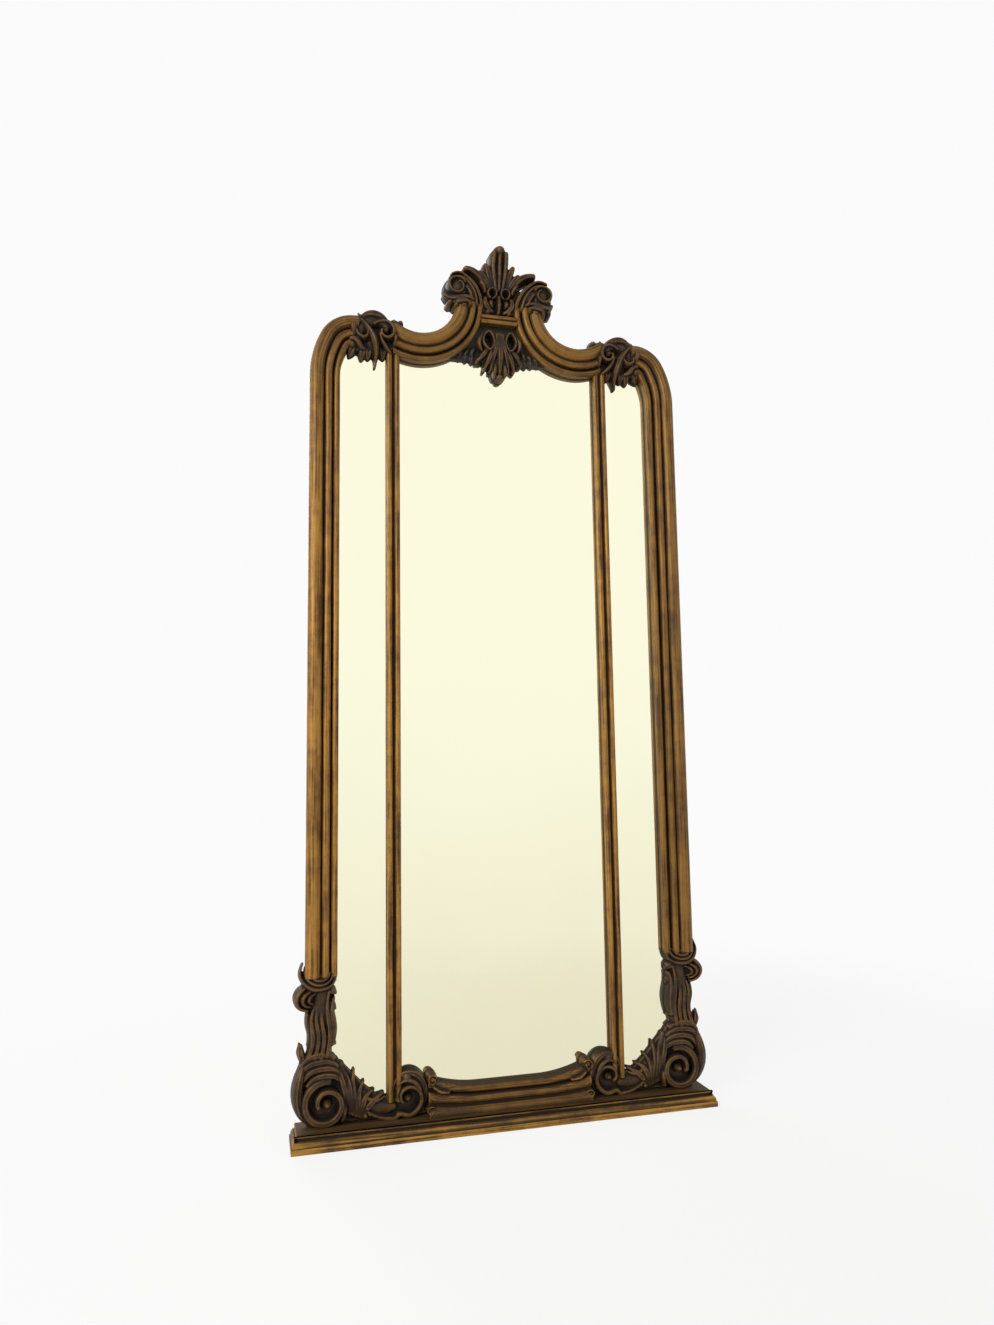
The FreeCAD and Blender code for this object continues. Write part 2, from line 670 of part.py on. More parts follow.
def make_glass():
    """Middle plate and right plate."""
    bar_half = MULLION_BAR / 2 + GLASS_PLAY
    z0 = opening_bottom
    z1 = opening_top - GLASS_PLAY
    glass_back = face + GLASS_THICKNESS
    middle = block(bar_half - mullion_x, mullion_x - bar_half, face, glass_back, z0, z1)
    right = block(mullion_x + bar_half, opening_x - GLASS_PLAY, face, glass_back, z0, z1)
    return middle, right


def make_glazing_blocks():
    """Three-cornered blocks glued behind the plates, along the stiles and the mullion bars."""
    glass_back = face + GLASS_THICKNESS
    blocks = []
    seats = [(opening_x, -1), (mullion_x + MULLION_BAR / 2, 1), (mullion_x - MULLION_BAR / 2, -1)]
    count = int((opening_top - opening_bottom) // BLOCK_PITCH)
    pitch = (opening_top - opening_bottom) / count
    first = opening_bottom + (pitch - BLOCK_LENGTH) / 2
    for x, side in seats:
        for i in range(count):
            z = first + i * pitch
            corners = [V(x, glass_back, z), V(x + side * BLOCK_SIDE, glass_back, z),
                       V(x, glass_back + BLOCK_SIDE, z)]
            wedge = Part.Face(Part.makePolygon(corners + corners[:1])).extrude(UP * BLOCK_LENGTH)
            blocks += [wedge, other_side(wedge)]
    return blocks


# Screws

def screw(tip, along, length):
    """Countersunk screw whose flat head ends at tip + along * length."""
    shank = Part.makeCylinder(SCREW_RADIUS, length - SCREW_HEAD_HEIGHT, tip, along)
    neck = tip + along * (length - SCREW_HEAD_HEIGHT)
    head = Part.makeCone(SCREW_RADIUS, SCREW_HEAD_RADIUS, SCREW_HEAD_HEIGHT, neck, along)
    return join([shank, head])


def board_screws():
    """Screws down both edges of the boards, and at the top and bottom of the middle one."""
    tip_y = board_back - BOARD_SCREW_LENGTH
    x = board_x - SCREW_EDGE
    spread = board_x / 3 + SCREW_EDGE
    places = []
    rows = int((board_top - board_bottom - 2 * SCREW_EDGE) // BOARD_SCREW_PITCH)
    pitch = (board_top - board_bottom - 2 * SCREW_EDGE) / rows
    for i in range(rows + 1):
        places.append((x, board_bottom + SCREW_EDGE + i * pitch))
    for z in (board_bottom + SCREW_EDGE, board_top - SCREW_EDGE):
        places.append((spread, z))
        places.append((spread - 2 * SCREW_EDGE, z))
    right = [screw(V(px, tip_y, pz), INTO_WALL, BOARD_SCREW_LENGTH) for px, pz in places]
    return right + [other_side(one) for one in right]


def plinth_screws():
    """Screws up through the plinth into the stiles and the bottom rail."""
    y = carcass_back - CARCASS_THICKNESS / 2
    top = PLINTH_SCREW_SINK + PLINTH_SCREW_LENGTH
    places = [(opening_x + carcass_x) / 2, rail_half]
    right = [screw(V(x, y, top), -UP, PLINTH_SCREW_LENGTH) for x in places]
    return right + [other_side(one) for one in right]


def plinth_screw_wells():
    """Clear wells that let the plinth screws' heads sink below its foot."""
    y = carcass_back - CARCASS_THICKNESS / 2
    places = [(opening_x + carcass_x) / 2, rail_half]
    right = [Part.makeCylinder(SCREW_HEAD_RADIUS, PLINTH_SCREW_SINK, V(x, y, 0), UP) for x in places]
    return right + [other_side(one) for one in right]


def hanger_screws():
    """Two screws through the right strap."""
    head_y = carcass_back + STRAP_THICKNESS
    foot = hanger_z - STRAP_LENGTH + HANGER_SCREW_END
    return [screw(V(hanger_x, head_y - HANGER_SCREW_LENGTH, foot + i * HANGER_SCREW_PITCH),
                  INTO_WALL, HANGER_SCREW_LENGTH) for i in range(2)]


# Strap hangers

def make_strap():
    """Strap screwed to the right stile, rolled at its top round the ring's bar."""
    plate = block(hanger_x - STRAP_WIDTH / 2, hanger_x + STRAP_WIDTH / 2, carcass_back,
                  carcass_back + STRAP_THICKNESS, hanger_z - STRAP_LENGTH, hanger_z)
    start = V(hanger_x - STRAP_WIDTH / 2, knuckle_y, hanger_z)
    along = V(1, 0, 0)
    roll = Part.makeCylinder(knuckle_outer, STRAP_WIDTH, start, along)
    bore = Part.makeCylinder(knuckle_inner, STRAP_WIDTH, start, along)
    return join([plate, roll]).cut(bore)


def make_ring():
    """D of round wire: a bar through the knuckle, two corners, two legs and a half-round bow."""
    def at(x, z):
        return V(hanger_x + x, knuckle_y, hanger_z - z)

    def wire(start, end):
        return Part.makeCylinder(RING_WIRE, (end - start).Length, start, end - start)

    def bend(start, toward, centre, turn):
        disc = Part.Face(Part.Wire(Part.makeCircle(RING_WIRE, start, toward)))
        return disc.revolve(centre, TO_VIEWER, turn)

    bar_half = RING_HALF_WIDTH - RING_BEND
    pieces = [
        wire(at(-bar_half, 0), at(bar_half, 0)),
        bend(at(bar_half, 0), V(1, 0, 0), at(bar_half, RING_BEND), -90),
        wire(at(RING_HALF_WIDTH, RING_BEND), at(RING_HALF_WIDTH, RING_DROP)),
        bend(at(RING_HALF_WIDTH, RING_DROP), -UP, at(0, RING_DROP), -180),
        wire(at(-RING_HALF_WIDTH, RING_DROP), at(-RING_HALF_WIDTH, RING_BEND)),
        bend(at(-RING_HALF_WIDTH, RING_BEND), UP, at(-bar_half, RING_BEND), -90),
    ]
    return join(pieces)


# Carvings

def plinth_below():
    return block(-FAR, FAR, -FAR, FAR, -FAR, PLINTH_HEIGHT)


def swan_zone():
    """Straight-sided zone that a swan neck fills."""
    ring = rod(swan_x, swan_z, swan_sight, FAR, -FAR).cut(rod(swan_x, swan_z, SWAN_RADIUS, FAR, -FAR))
    return ring.common(block(-FAR, swan_end, -FAR, FAR, -FAR, swan_z))


def shoulder_zone():
    """Straight-sided zone that the end of a stile's shoulder fills."""
    low = FRAME_TOP - SHOULDER_RADIUS
    zone = block(shoulder_end, FAR, -FAR, FAR, low, FAR)
    return zone.cut(rod(shoulder_end, low, SHOULDER_RADIUS - MOULDING_WIDTH, FAR, -FAR))


def mullion_zone(bottom, top):
    return block(mullion_x - MULLION_WIDTH / 2, mullion_x + MULLION_WIDTH / 2, -FAR, FAR, bottom, top)


def corner_carving():
    """The big volute, the leaf that wraps it and the spray beside it, as ribs."""
    eye = (half_width - CORNER_INSET, PLINTH_HEIGHT + CORNER_RISE)
    ribs = [rib(spiral_line(*CORNER_SCROLL), eye, *CORNER_SCROLL_RIB), boss(eye, *CORNER_EYE),
            boss(eye, *CORNER_DISC), leaf(CORNER_OUTER_LEAF, eye, *CORNER_OUTER_RIB),
            leaf(CORNER_BODY, eye, *CORNER_BODY_RIB)]
    ribs += [leaf(line, eye, *CORNER_WRAP_RIB) for line in CORNER_WRAPS]
    ribs += [leaf(line, eye, *CORNER_SPRAY_RIB) for line in CORNER_SPRAY]
    return ribs + [boss(eye, *berry) for berry in CORNER_BERRIES]


def make_corner_volute(ribs, outline):
    return carved(ribs, outline, face, GROUND, plinth_below())


def make_stile_leaf(corner_outline):
    """Upright acanthus: a cup round the stile's foot, a rolled ball, and ribs down to the volute."""
    anchor = (half_width - STILE_LEAF_INSET, STILE_FOOT)
    ribs = [leaf(STILE_LEAF_BODY, anchor, *STILE_LEAF_BODY_RIB), boss(anchor, *STILE_LEAF_BALL)]
    ribs += [leaf(line, anchor, *STILE_LEAF_CUP_RIB) for line in STILE_LEAF_CUP]
    ribs += [leaf(line, anchor, *STILE_LEAF_CURL_RIB) for line in STILE_LEAF_CURLS]
    ribs += [leaf(line, anchor, *STILE_LEAF_RIB) for line in STILE_LEAF_RIBS]
    for z in STILE_LEAF_TIPS:
        ribs.append(leaf(STILE_LEAF_TIP_RUN, (anchor[0], anchor[1] + z), *STILE_LEAF_TIP_RIB))
    stile_zone = block(sight_x, half_width, -FAR, FAR, STILE_FOOT, FAR)
    return carved(ribs, ground_outline(ribs), face, GROUND, stile_zone, *pad([corner_outline], face, FAR))


def make_foot_scroll(corner_outline):
    """C-scroll under a mullion, with a leaf humped over its eye."""
    eye = (mullion_x - FOOT_SCROLL_INSET, PLINTH_HEIGHT + FOOT_SCROLL_RISE)
    ribs = [leaf(FOOT_CUP, eye, *FOOT_CUP_RIB), rib(spiral_line(*FOOT_SCROLL), eye, *FOOT_SCROLL_RIB),
            leaf(FOOT_BODY, eye, *FOOT_BODY_RIB), leaf(FOOT_LIP, eye, *FOOT_LIP_RIB)]
    ribs += [leaf(line, eye, *FOOT_HUMP_RIB) for line in FOOT_HUMPS]
    ribs += [boss(eye, *one) for one in (FOOT_EYE, FOOT_DISC, FOOT_CROWN)]
    rail_zone = block(-FAR, rail_half, -FAR, FAR, -FAR, FAR)
    return carved(ribs, ground_outline(ribs), face, GROUND, mullion_zone(MULLION_FOOT, FAR), plinth_below(),
                  rail_zone, *pad([corner_outline], face, FAR))


def make_top_clasp():
    """Leaf and scroll over the meeting of stile, swan neck and mullion."""
    anchor = ((swan_end + shoulder_end) / 2, FRAME_TOP - CLASP_DROP)
    eye = (anchor[0] + CLASP_EYE[0], anchor[1] + CLASP_EYE[1])
    ribs = [leaf(line, anchor, *CLASP_BODY_RIB) for line in CLASP_BODY]
    ribs += [leaf(line, anchor, *CLASP_LEAF_RIB) for line in CLASP_LEAVES]
    ribs += [leaf(line, anchor, *CLASP_FRINGE_RIB) for line in CLASP_FRINGE]
    ribs += [rib(spiral_line(*CLASP_SCROLL), eye, *CLASP_SCROLL_RIB), boss(eye, *CLASP_BOSS)]
    return carved(ribs, ground_outline(ribs), face, GROUND, shoulder_zone(), swan_zone(),
                  mullion_zone(0, MULLION_TOP))


def crest_scroll_carving():
    """The rolled scroll on the end of a swan neck, as ribs."""
    eye = (swan_x - CREST_SCROLL_INSET, swan_z + CREST_SCROLL_LIFT)
    ribs = [leaf(line, eye, *CREST_REED_RIB) for line in CREST_REEDS]
    ribs += [leaf(CREST_CUFF, eye, *CREST_CUFF_RIB), boss(eye, *CREST_BALL)]
    return ribs + [rib(spiral_line(*CREST_SCROLL), eye, *CREST_SCROLL_RIB)]


def make_crest_volute(ribs, outline):
    return carved(ribs, outline, face, GROUND, block(-FAR, FAR, -FAR, FAR, -FAR, swan_z))


def make_palmette(volute_outline):
    """Tall ribbed leaf with side leaves, two hollow eyes and cheeks."""
    anchor = (0, crossbar_top)
    middle, flank = CREST_MIDDLE_RIBS
    side = [leaf(flank, anchor, *CREST_FLANK_RIB)]
    side += [leaf(line, anchor, *CREST_LEAF_RIB) for line in CREST_LEAVES]
    side += [leaf(line, anchor, *CREST_CHEEK_RIB) for line in CREST_CHEEKS]
    side += [leaf(line, anchor, *CREST_BODY_RIB) for line in CREST_BODY]
    ribs = [leaf(middle, anchor, *CREST_MIDDLE_RIB), leaf(CREST_STEM, anchor, *CREST_STEM_RIB)]
    ribs += side + mirrored(side)
    volute = pad([volute_outline], face, FAR)[0]
    crossbar_zone = block(-FAR, FAR, -FAR, FAR, -FAR, crossbar_top)
    eye = rod(CREST_EYELET[0], anchor[1] + CREST_EYELET[1], CREST_EYELET_RADIUS, face - GROUND, -FAR)
    return carved(ribs, ground_outline(ribs), face, GROUND, volute, other_side(volute), crossbar_zone,
                  eye, other_side(eye))


def swan_scribes():
    """Rounds that leave only what lies between the two swan necks."""
    scribe = rod(swan_x, swan_z, swan_sight, FAR, -FAR)
    return [scribe, other_side(scribe)]


def make_crossbar():
    """Two-bead bar scribed between the swan necks."""
    reach = CREST_GAP + CROSSBAR_HEIGHT

    def at(z, height):
        return V(-reach, face - height, z)

    low = CROSSBAR_BOTTOM
    middle = CROSSBAR_BOTTOM + CROSSBAR_HEIGHT / 2
    rim = CROSSBAR_RELIEF - CROSSBAR_HEIGHT / 4
    bar = Part.Face(Part.Wire([
        edge(at(low, 0), at(low, rim)),
        edge(at(low, rim), at((low + middle) / 2, CROSSBAR_RELIEF), at(middle, rim)),
        edge(at(middle, rim), at((middle + crossbar_top) / 2, CROSSBAR_RELIEF), at(crossbar_top, rim)),
        edge(at(crossbar_top, rim), at(crossbar_top, 0)),
        edge(at(crossbar_top, 0), at(low, 0)),
    ])).extrude(V(2 * reach, 0, 0))
    return trimmed(bar, *swan_scribes())


def make_apron():
    """Dark board between the swan necks with a scalloped lower edge."""
    board = block(-swan_x, swan_x, face - APRON_THICKNESS, face, APRON_EDGE, CROSSBAR_BOTTOM)
    scallops = []
    for i in range(APRON_SCALLOPS):
        x = APRON_FIRST + i * APRON_PITCH
        lobe = rod(x, APRON_EDGE + (i - 1) * APRON_RISE, APRON_SCALLOP, face, face - APRON_THICKNESS)
        scallops += [lobe, other_side(lobe)]
    return trimmed(join([board] + scallops), *swan_scribes())


def make_pendant():
    """Hanging acanthus on the apron: a ribbed middle, teardrop eyelets and falling lobes."""
    base = face - APRON_THICKNESS
    anchor = (0, PENDANT_TOP)
    side = [leaf(line, anchor, *PENDANT_LEAF_RIB) for line in PENDANT_LEAVES]
    side.append(leaf(PENDANT_EYELET, anchor, *PENDANT_EYELET_RIB))
    ribs = [leaf(PENDANT_MIDDLE, anchor, *PENDANT_MIDDLE_RIB), boss(anchor, *PENDANT_TIP)]
    ribs += side + mirrored(side)
    return carved(ribs, ground_outline(ribs), base, PENDANT_GROUND)


# Assembly

def build_nodes():
    """Every piece of the mirror, by node name."""
    nodes = {}

    def pair(name, right):
        nodes["right_" + name] = right
        nodes["left_" + name] = other_side(right)

    back_screws = board_screws()
    foot_screws = plinth_screws()
    strap_screws = hanger_screws()
    all_screws = back_screws + foot_screws + strap_screws

    stile = make_stile()
    swan_neck = make_swan_neck()
    mullion = make_mullion()
    corner_ribs = corner_carving()
    corner_outline = ground_outline(corner_ribs)
    crest_ribs = crest_scroll_carving()
    crest_outline = ground_outline(crest_ribs)
    pair("stile_moulding", stile)
    pair("swan_neck", swan_neck)
    pair("mullion", mullion)
    pair("corner_volute", make_corner_volute(corner_ribs, corner_outline))
    pair("stile_leaf", make_stile_leaf(corner_outline))
    pair("foot_scroll", make_foot_scroll(corner_outline))
    pair("top_clasp", make_top_clasp())
    pair("crest_volute", make_crest_volute(crest_ribs, crest_outline))
    nodes["plinth"] = trimmed(make_plinth(), *foot_screws, *plinth_screw_wells())
    nodes["bottom_rail_moulding"] = make_bottom_rail()
    nodes["crest_palmette"] = make_palmette(crest_outline)
    nodes["crest_crossbar"] = make_crossbar()
    nodes["crest_apron"] = make_apron()
    nodes["pendant_leaf"] = make_pendant()

    back_stile, bottom, top, bar = make_carcass()
    pair("back_stile", trimmed(back_stile, *all_screws))
    pair("mullion_bar", bar)
    nodes["bottom_back_rail"] = trimmed(bottom, *all_screws)
    nodes["top_back_rail"] = trimmed(top, *back_screws)
    nodes["crest_board"] = make_crest_board()

    middle_glass, side_glass = make_glass()
    nodes["middle_mirror_plate"] = middle_glass
    pair("mirror_plate", side_glass)
    nodes["glazing_blocks"] = Part.makeCompound(make_glazing_blocks())
    joint = board_x / 3
    middle_board = block(-joint, joint, carcass_back, board_back, board_bottom, board_top)
    side_board = block(joint + BOARD_JOINT, board_x, carcass_back, board_back, board_bottom, board_top)
    nodes["middle_backboard"] = trimmed(middle_board, *back_screws)
    pair("backboard", trimmed(side_board, *back_screws))
    nodes["backboard_screws"] = Part.makeCompound(back_screws)
    nodes["plinth_screws"] = Part.makeCompound(foot_screws)

    pair("hanger_strap", trimmed(make_strap(), *strap_screws))
    pair("hanger_ring", make_ring())
    nodes["hanger_screws"] = Part.makeCompound(strap_screws + [other_side(one) for one in strap_screws])
    return nodes


def main():
    os.makedirs("parts", exist_ok=True)
    for name, shape in build_nodes().items():
        shape.exportStep(os.path.join("parts", name + ".step"))
        print(name, len(shape.Solids), shape.isValid(), round(shape.Volume))


main()
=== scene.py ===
import bmesh
import bpy
import math
import numpy as np
from mathutils import Matrix, Vector


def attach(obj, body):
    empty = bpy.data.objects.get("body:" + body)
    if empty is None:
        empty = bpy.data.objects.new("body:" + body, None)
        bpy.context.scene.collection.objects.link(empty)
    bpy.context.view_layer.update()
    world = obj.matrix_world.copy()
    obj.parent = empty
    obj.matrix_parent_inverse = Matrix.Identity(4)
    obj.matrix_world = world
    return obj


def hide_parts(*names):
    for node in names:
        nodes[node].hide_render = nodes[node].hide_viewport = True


# A carved and gilded wall mirror on a plinth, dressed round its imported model.
# Sizes are written in millimetres, x to the viewer's right, z up, and height towards the viewer.

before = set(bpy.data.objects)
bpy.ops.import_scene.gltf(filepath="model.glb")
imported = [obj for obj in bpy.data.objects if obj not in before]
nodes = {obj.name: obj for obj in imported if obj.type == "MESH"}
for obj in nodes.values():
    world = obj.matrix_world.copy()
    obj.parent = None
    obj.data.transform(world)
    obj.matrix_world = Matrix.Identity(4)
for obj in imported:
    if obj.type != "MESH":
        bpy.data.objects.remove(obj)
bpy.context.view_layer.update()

MM = 0.001
FACE = -21.0
PLINTH_TOP = 30.0
HALF_WIDTH = 394.0
MULLION_X = 227.0
SWAN_CENTRE = (172.0, 1667.0)
SWAN_RADIUS = 79.0
CORNER_EYE = (358.0, 69.0)
RNG_SEED = 11


# Colours and nodes

def tone(red, green, blue):
    """Colour as it is seen on a screen, turned into the linear colour that shaders use."""
    linear = [c / 12.92 if c <= 0.04045 else ((c + 0.055) / 1.055) ** 2.4
              for c in (red / 255, green / 255, blue / 255)]
    return (*linear, 1.0)


class Amount:
    """A socket that takes part in Python sums. Each sum adds its own Math node."""

    def __init__(self, maker, socket):
        self.maker = maker
        self.socket = socket

    def sum(self, operation, first, second, clamp=False):
        return self.maker.node("ShaderNodeMath", {"operation": operation, "use_clamp": clamp},
                               {0: first, 1: second})

    def __add__(self, other):
        return self.sum("ADD", self, other)

    def __radd__(self, other):
        return self.sum("ADD", other, self)

    def __sub__(self, other):
        return self.sum("SUBTRACT", self, other)

    def __rsub__(self, other):
        return self.sum("SUBTRACT", other, self)

    def __mul__(self, other):
        return self.sum("MULTIPLY", self, other)

    def __rmul__(self, other):
        return self.sum("MULTIPLY", other, self)

    def __pow__(self, other):
        return self.sum("POWER", self, other)

    def clamped(self):
        return self.sum("ADD", self, 0.0, clamp=True)

    def most(self, other):
        return self.sum("MAXIMUM", self, other)

    def rise(self, low, high):
        """0 below low, 1 above high, eased between them."""
        return self.maker.node("ShaderNodeMapRange", {"interpolation_type": "SMOOTHSTEP"},
                               {"Value": self, "From Min": low, "From Max": high})

    def other(self, output):
        return Amount(self.maker, self.socket.node.outputs[output])


class NodeMaker:
    """Adds nodes to one tree."""

    def __init__(self, tree):
        self.tree = tree

    def node(self, kind, settings=None, inputs=None, output=0):
        made = self.tree.nodes.new(kind)
        for key, value in (settings or {}).items():
            setattr(made, key, value)
        for key, value in (inputs or {}).items():
            if isinstance(value, Amount):
                self.tree.links.new(value.socket, made.inputs[key])
            else:
                made.inputs[key].default_value = value
        return Amount(self, made.outputs[output]) if made.outputs else made

    def noise(self, vector, scale, detail=4.0, roughness=0.55, distortion=0.0):
        return self.node("ShaderNodeTexNoise", {}, {
            "Vector": vector, "Scale": scale, "Detail": detail,
            "Roughness": roughness, "Distortion": distortion}, "Fac")

    def mix(self, share, first, second):
        return self.node("ShaderNodeMix", {"data_type": "RGBA"}, {0: share, 6: first, 7: second}, 2)

    def stretched(self, vector, factors):
        return self.node("ShaderNodeVectorMath", {"operation": "MULTIPLY"}, {0: vector, 1: factors})

    def attribute(self, name, output="Fac"):
        return self.node("ShaderNodeAttribute", {"attribute_name": name}, {}, output)


class Finish(NodeMaker):
    """One material with a Principled surface."""

    def __init__(self, name):
        self.material = bpy.data.materials.new(name)
        self.material.use_nodes = True
        super().__init__(self.material.node_tree)
        self.tree.nodes.clear()

    def place(self):
        return self.node("ShaderNodeTexCoord", {}, {}, "Object")

    def bump(self, height, strength, distance):
        return self.node("ShaderNodeBump", {}, {
            "Height": height, "Strength": strength, "Distance": distance}, "Normal")

    def surface(self, **sockets):
        named = {key.replace("_", " "): value for key, value in sockets.items()}
        shader = self.node("ShaderNodeBsdfPrincipled", {}, named)
        self.node("ShaderNodeOutputMaterial", {}, {"Surface": shader})
        return self.material


# Finishes

def aged_gilt(name, gold, worn_and_highlight, umber, dirt_and_shade, shine, streak_share, grime_and_shade_reach, seat_shade, zone_shade=0.0):
    """Old water gilding: gold toned with umber, soiling and painted shade in the hollows, rubbing and painted
    highlight on the crests, painted shade on the sides, by the frame's face and in set zones, and small
    chips.
    """
    m = Finish(name)
    place = m.place()
    grain = m.attribute("grain", "Vector")
    hollow = m.attribute("hollow")
    crest = m.attribute("crest")
    normal = m.node("ShaderNodeNewGeometry", {}, {}, "Normal")
    upward = m.node("ShaderNodeSeparateXYZ", {}, {"Vector": normal}, "Z")
    inward = m.node("ShaderNodeSeparateXYZ", {}, {"Vector": normal}, "Y")
    clouds = m.noise(place, 6.0, 5.0, 0.6)
    patches = m.noise(place, 30.0, 6.0, 0.65)
    grit = m.noise(place, 420.0, 3.0, 0.6)
    streaks = m.noise(m.stretched(grain, (5.0, 170.0, 170.0)), 1.0, 4.0, 0.65)
    mottle = (streaks * streak_share + patches * (1.0 - streak_share) - 0.5) * (0.9 + 3.8 * streak_share)
    # Umber to gold by random mottle and clouds, with painted highlight on the crests and painted shade in the
    # hollows.
    toning_and_shade = (mottle + clouds * 0.5 + crest * 0.2 - hollow * 0.3 + 0.23).rise(0.1, 0.95)
    colour = m.mix(toning_and_shade, umber, gold)
    # Painted shade: faces that turn away from the front, the sides of beads and carvings, are darkened toward
    # the soiling colour, as if in shade.
    side = (1.0 + inward).rise(0.25, 1.0) * (0.75 + clouds * 0.3)
    colour = m.mix(side.clamped() * 0.8, colour, dirt_and_shade)
    # Bright gold on the crests and where the mottle runs high: partly rubbing of the gilding and random
    # streaks, partly painted highlight along the crests.
    rub_and_highlight = (crest * 0.6 + mottle * 0.9 + clouds * 0.3 - 0.25).rise(0.0, 0.9)
    colour = m.mix(rub_and_highlight * 0.95, colour, worn_and_highlight)
    # Painted shade: darker above about 1.15 m, below about 0.2 m and right of x = 0.26 m, where the frame
    # falls into shade.
    height = m.node("ShaderNodeSeparateXYZ", {}, {"Vector": place}, "Z")
    across = m.node("ShaderNodeSeparateXYZ", {}, {"Vector": place}, "X")
    shade_zones = height.rise(1.15, 1.6).most(across.rise(0.26, 0.36)).most(1.0 - height.rise(0.06, 0.2))
    colour = m.mix(shade_zones * zone_shade, colour, tone(52, 42, 22))
    bole = (m.noise(place, 46.0, 5.0, 0.7) + crest * 0.15 - mottle * streak_share * 0.25).rise(0.6, 0.8)
    colour = m.mix(bole * 0.3, colour, tone(98, 50, 27))
    # Darker hollows: partly real soiling, partly painted shade standing in for the occlusion in recesses;
    # dust on faces turned up is real.
    dust = upward.rise(0.75, 1.0) * (0.55 + patches * 0.6)
    grime_and_shade = (hollow * (1.1 + clouds * 0.5) + patches * 0.45 - 0.34).rise(0.0, grime_and_shade_reach)
    grime_and_shade = grime_and_shade.most(dust).clamped()
    # Painted shade: surfaces within a few millimetres of the frame's face are darkened, as the shade where a
    # piece sits on the frame.
    seat = m.node("ShaderNodeSeparateXYZ", {}, {"Vector": place}, "Y")
    grime_and_shade = grime_and_shade.most(seat.rise((FACE - 9.0) * MM, (FACE - 2.0) * MM) * seat_shade)
    colour = m.mix(grime_and_shade * 0.93, colour, dirt_and_shade)
    chip = m.node("ShaderNodeTexVoronoi", {"feature": "DISTANCE_TO_EDGE"}, {"Vector": place, "Scale": 55.0})
    flake = (m.noise(place, 150.0, 3.0, 0.7) - grime_and_shade * 0.25).rise(0.745, 0.775) * chip.rise(0.02, 0.12)
    colour = m.mix(flake * 0.7, colour, tone(190, 166, 124))
    roughness = 0.4 + grime_and_shade * 0.3 + grit * 0.14 + flake * 0.15
    metallic = shine * (1.0 - grime_and_shade) * (1.0 - flake)
    relief = grit * 0.35 + patches * 0.5 + streaks * 0.4 - flake * 0.6
    return m.surface(Base_Color=colour, Metallic=metallic, Roughness=roughness, Specular_IOR_Level=0.3,
                     Normal=m.bump(relief, 0.35, 0.0007))


def silvered_glass():
    """Old warm mirror plate: slightly clouded silvering with fox marks, and a painted reflection that darkens
    and warms it towards the foot.
    """
    m = Finish("mirror_silvering")
    place = m.place()
    height = m.node("ShaderNodeSeparateXYZ", {}, {"Vector": place}, "Z")
    clouds = m.noise(place, 2.2, 4.0, 0.5)
    # Painted reflection: darker and warmer towards the foot, as the plate would show the room below it.
    painted_reflection_fade = ((1.0 - height) * 0.9 + clouds * 0.35 - 0.22).rise(0.0, 1.0)
    colour = m.mix(painted_reflection_fade, tone(255, 254, 226), tone(236, 229, 198))
    spots = m.node("ShaderNodeTexVoronoi", {"feature": "F1"}, {"Vector": place, "Scale": 21.0}, "Distance")
    rare = m.noise(place, 3.3, 2.0, 0.5).rise(0.6, 0.75)
    fox = (1.0 - spots.rise(0.015, 0.045)) * rare
    colour = m.mix(fox * 0.6, colour, tone(120, 104, 70))
    haze = m.noise(m.stretched(place, (1.0, 1.0, 0.35)), 9.0, 5.0, 0.6)
    return m.surface(Base_Color=colour, Metallic=1.0, Roughness=haze * 0.05 + fox * 0.3)


def old_pine(name, pale, deep, along):
    """Oxidised softwood with grain along one axis."""
    m = Finish(name)
    place = m.place()
    lengthwise = {"x": (1.3, 40.0, 40.0), "z": (40.0, 40.0, 1.3)}[along]
    fibre = {"x": (20.0, 700.0, 700.0), "z": (700.0, 700.0, 20.0)}[along]
    drift = m.noise(m.stretched(place, lengthwise), 0.55, 1.0, 0.4)
    rings = m.node("ShaderNodeMath", {"operation": "FRACT"}, {0: drift * 9.0})
    late = rings.rise(0.25, 0.95) * (1.0 - rings.rise(0.95, 1.0))
    hair = m.noise(m.stretched(place, fibre), 1.0, 3.0, 0.6)
    stain = m.noise(place, 3.5, 5.0, 0.6)
    colour = m.mix(late * 0.55 + hair * 0.35, pale, deep)
    colour = m.mix(stain.rise(0.42, 0.8) * 0.55, colour, tone(74, 52, 34))
    relief = hair * 0.5 + late * 0.4
    return m.surface(Base_Color=colour, Roughness=0.68 + hair * 0.2, Normal=m.bump(relief, 0.3, 0.0006))


def old_brass(name, bright, tarnish):
    m = Finish(name)
    place = m.place()
    cloud = m.noise(place, 120.0, 5.0, 0.65)
    scratch = m.noise(m.stretched(place, (900.0, 900.0, 70.0)), 1.0, 3.0, 0.6)
    dull = cloud.rise(0.35, 0.7)
    colour = m.mix(dull * 0.8, bright, tarnish)
    return m.surface(Base_Color=colour, Metallic=1.0 - dull * 0.25,
                     Roughness=0.28 + dull * 0.3 + scratch * 0.1, Normal=m.bump(scratch, 0.12, 0.0003))


moulding_gilt = aged_gilt("moulding_aged_gilt", tone(118, 82, 32), tone(184, 134, 59), tone(62, 40, 17),
                          tone(34, 21, 10), 0.25, 0.75, 0.8, 0.9, 0.4)
carving_gilt = aged_gilt("carving_dark_gilt", tone(76, 54, 28), tone(120, 88, 46), tone(42, 29, 17),
                         tone(19, 14, 9), 0.15, 0.3, 0.62, 0.9)
plinth_gilt = aged_gilt("plinth_worn_gilt", tone(118, 84, 36), tone(186, 138, 58), tone(58, 40, 21),
                        tone(28, 20, 15), 0.3, 0.75, 0.8, 0.0)
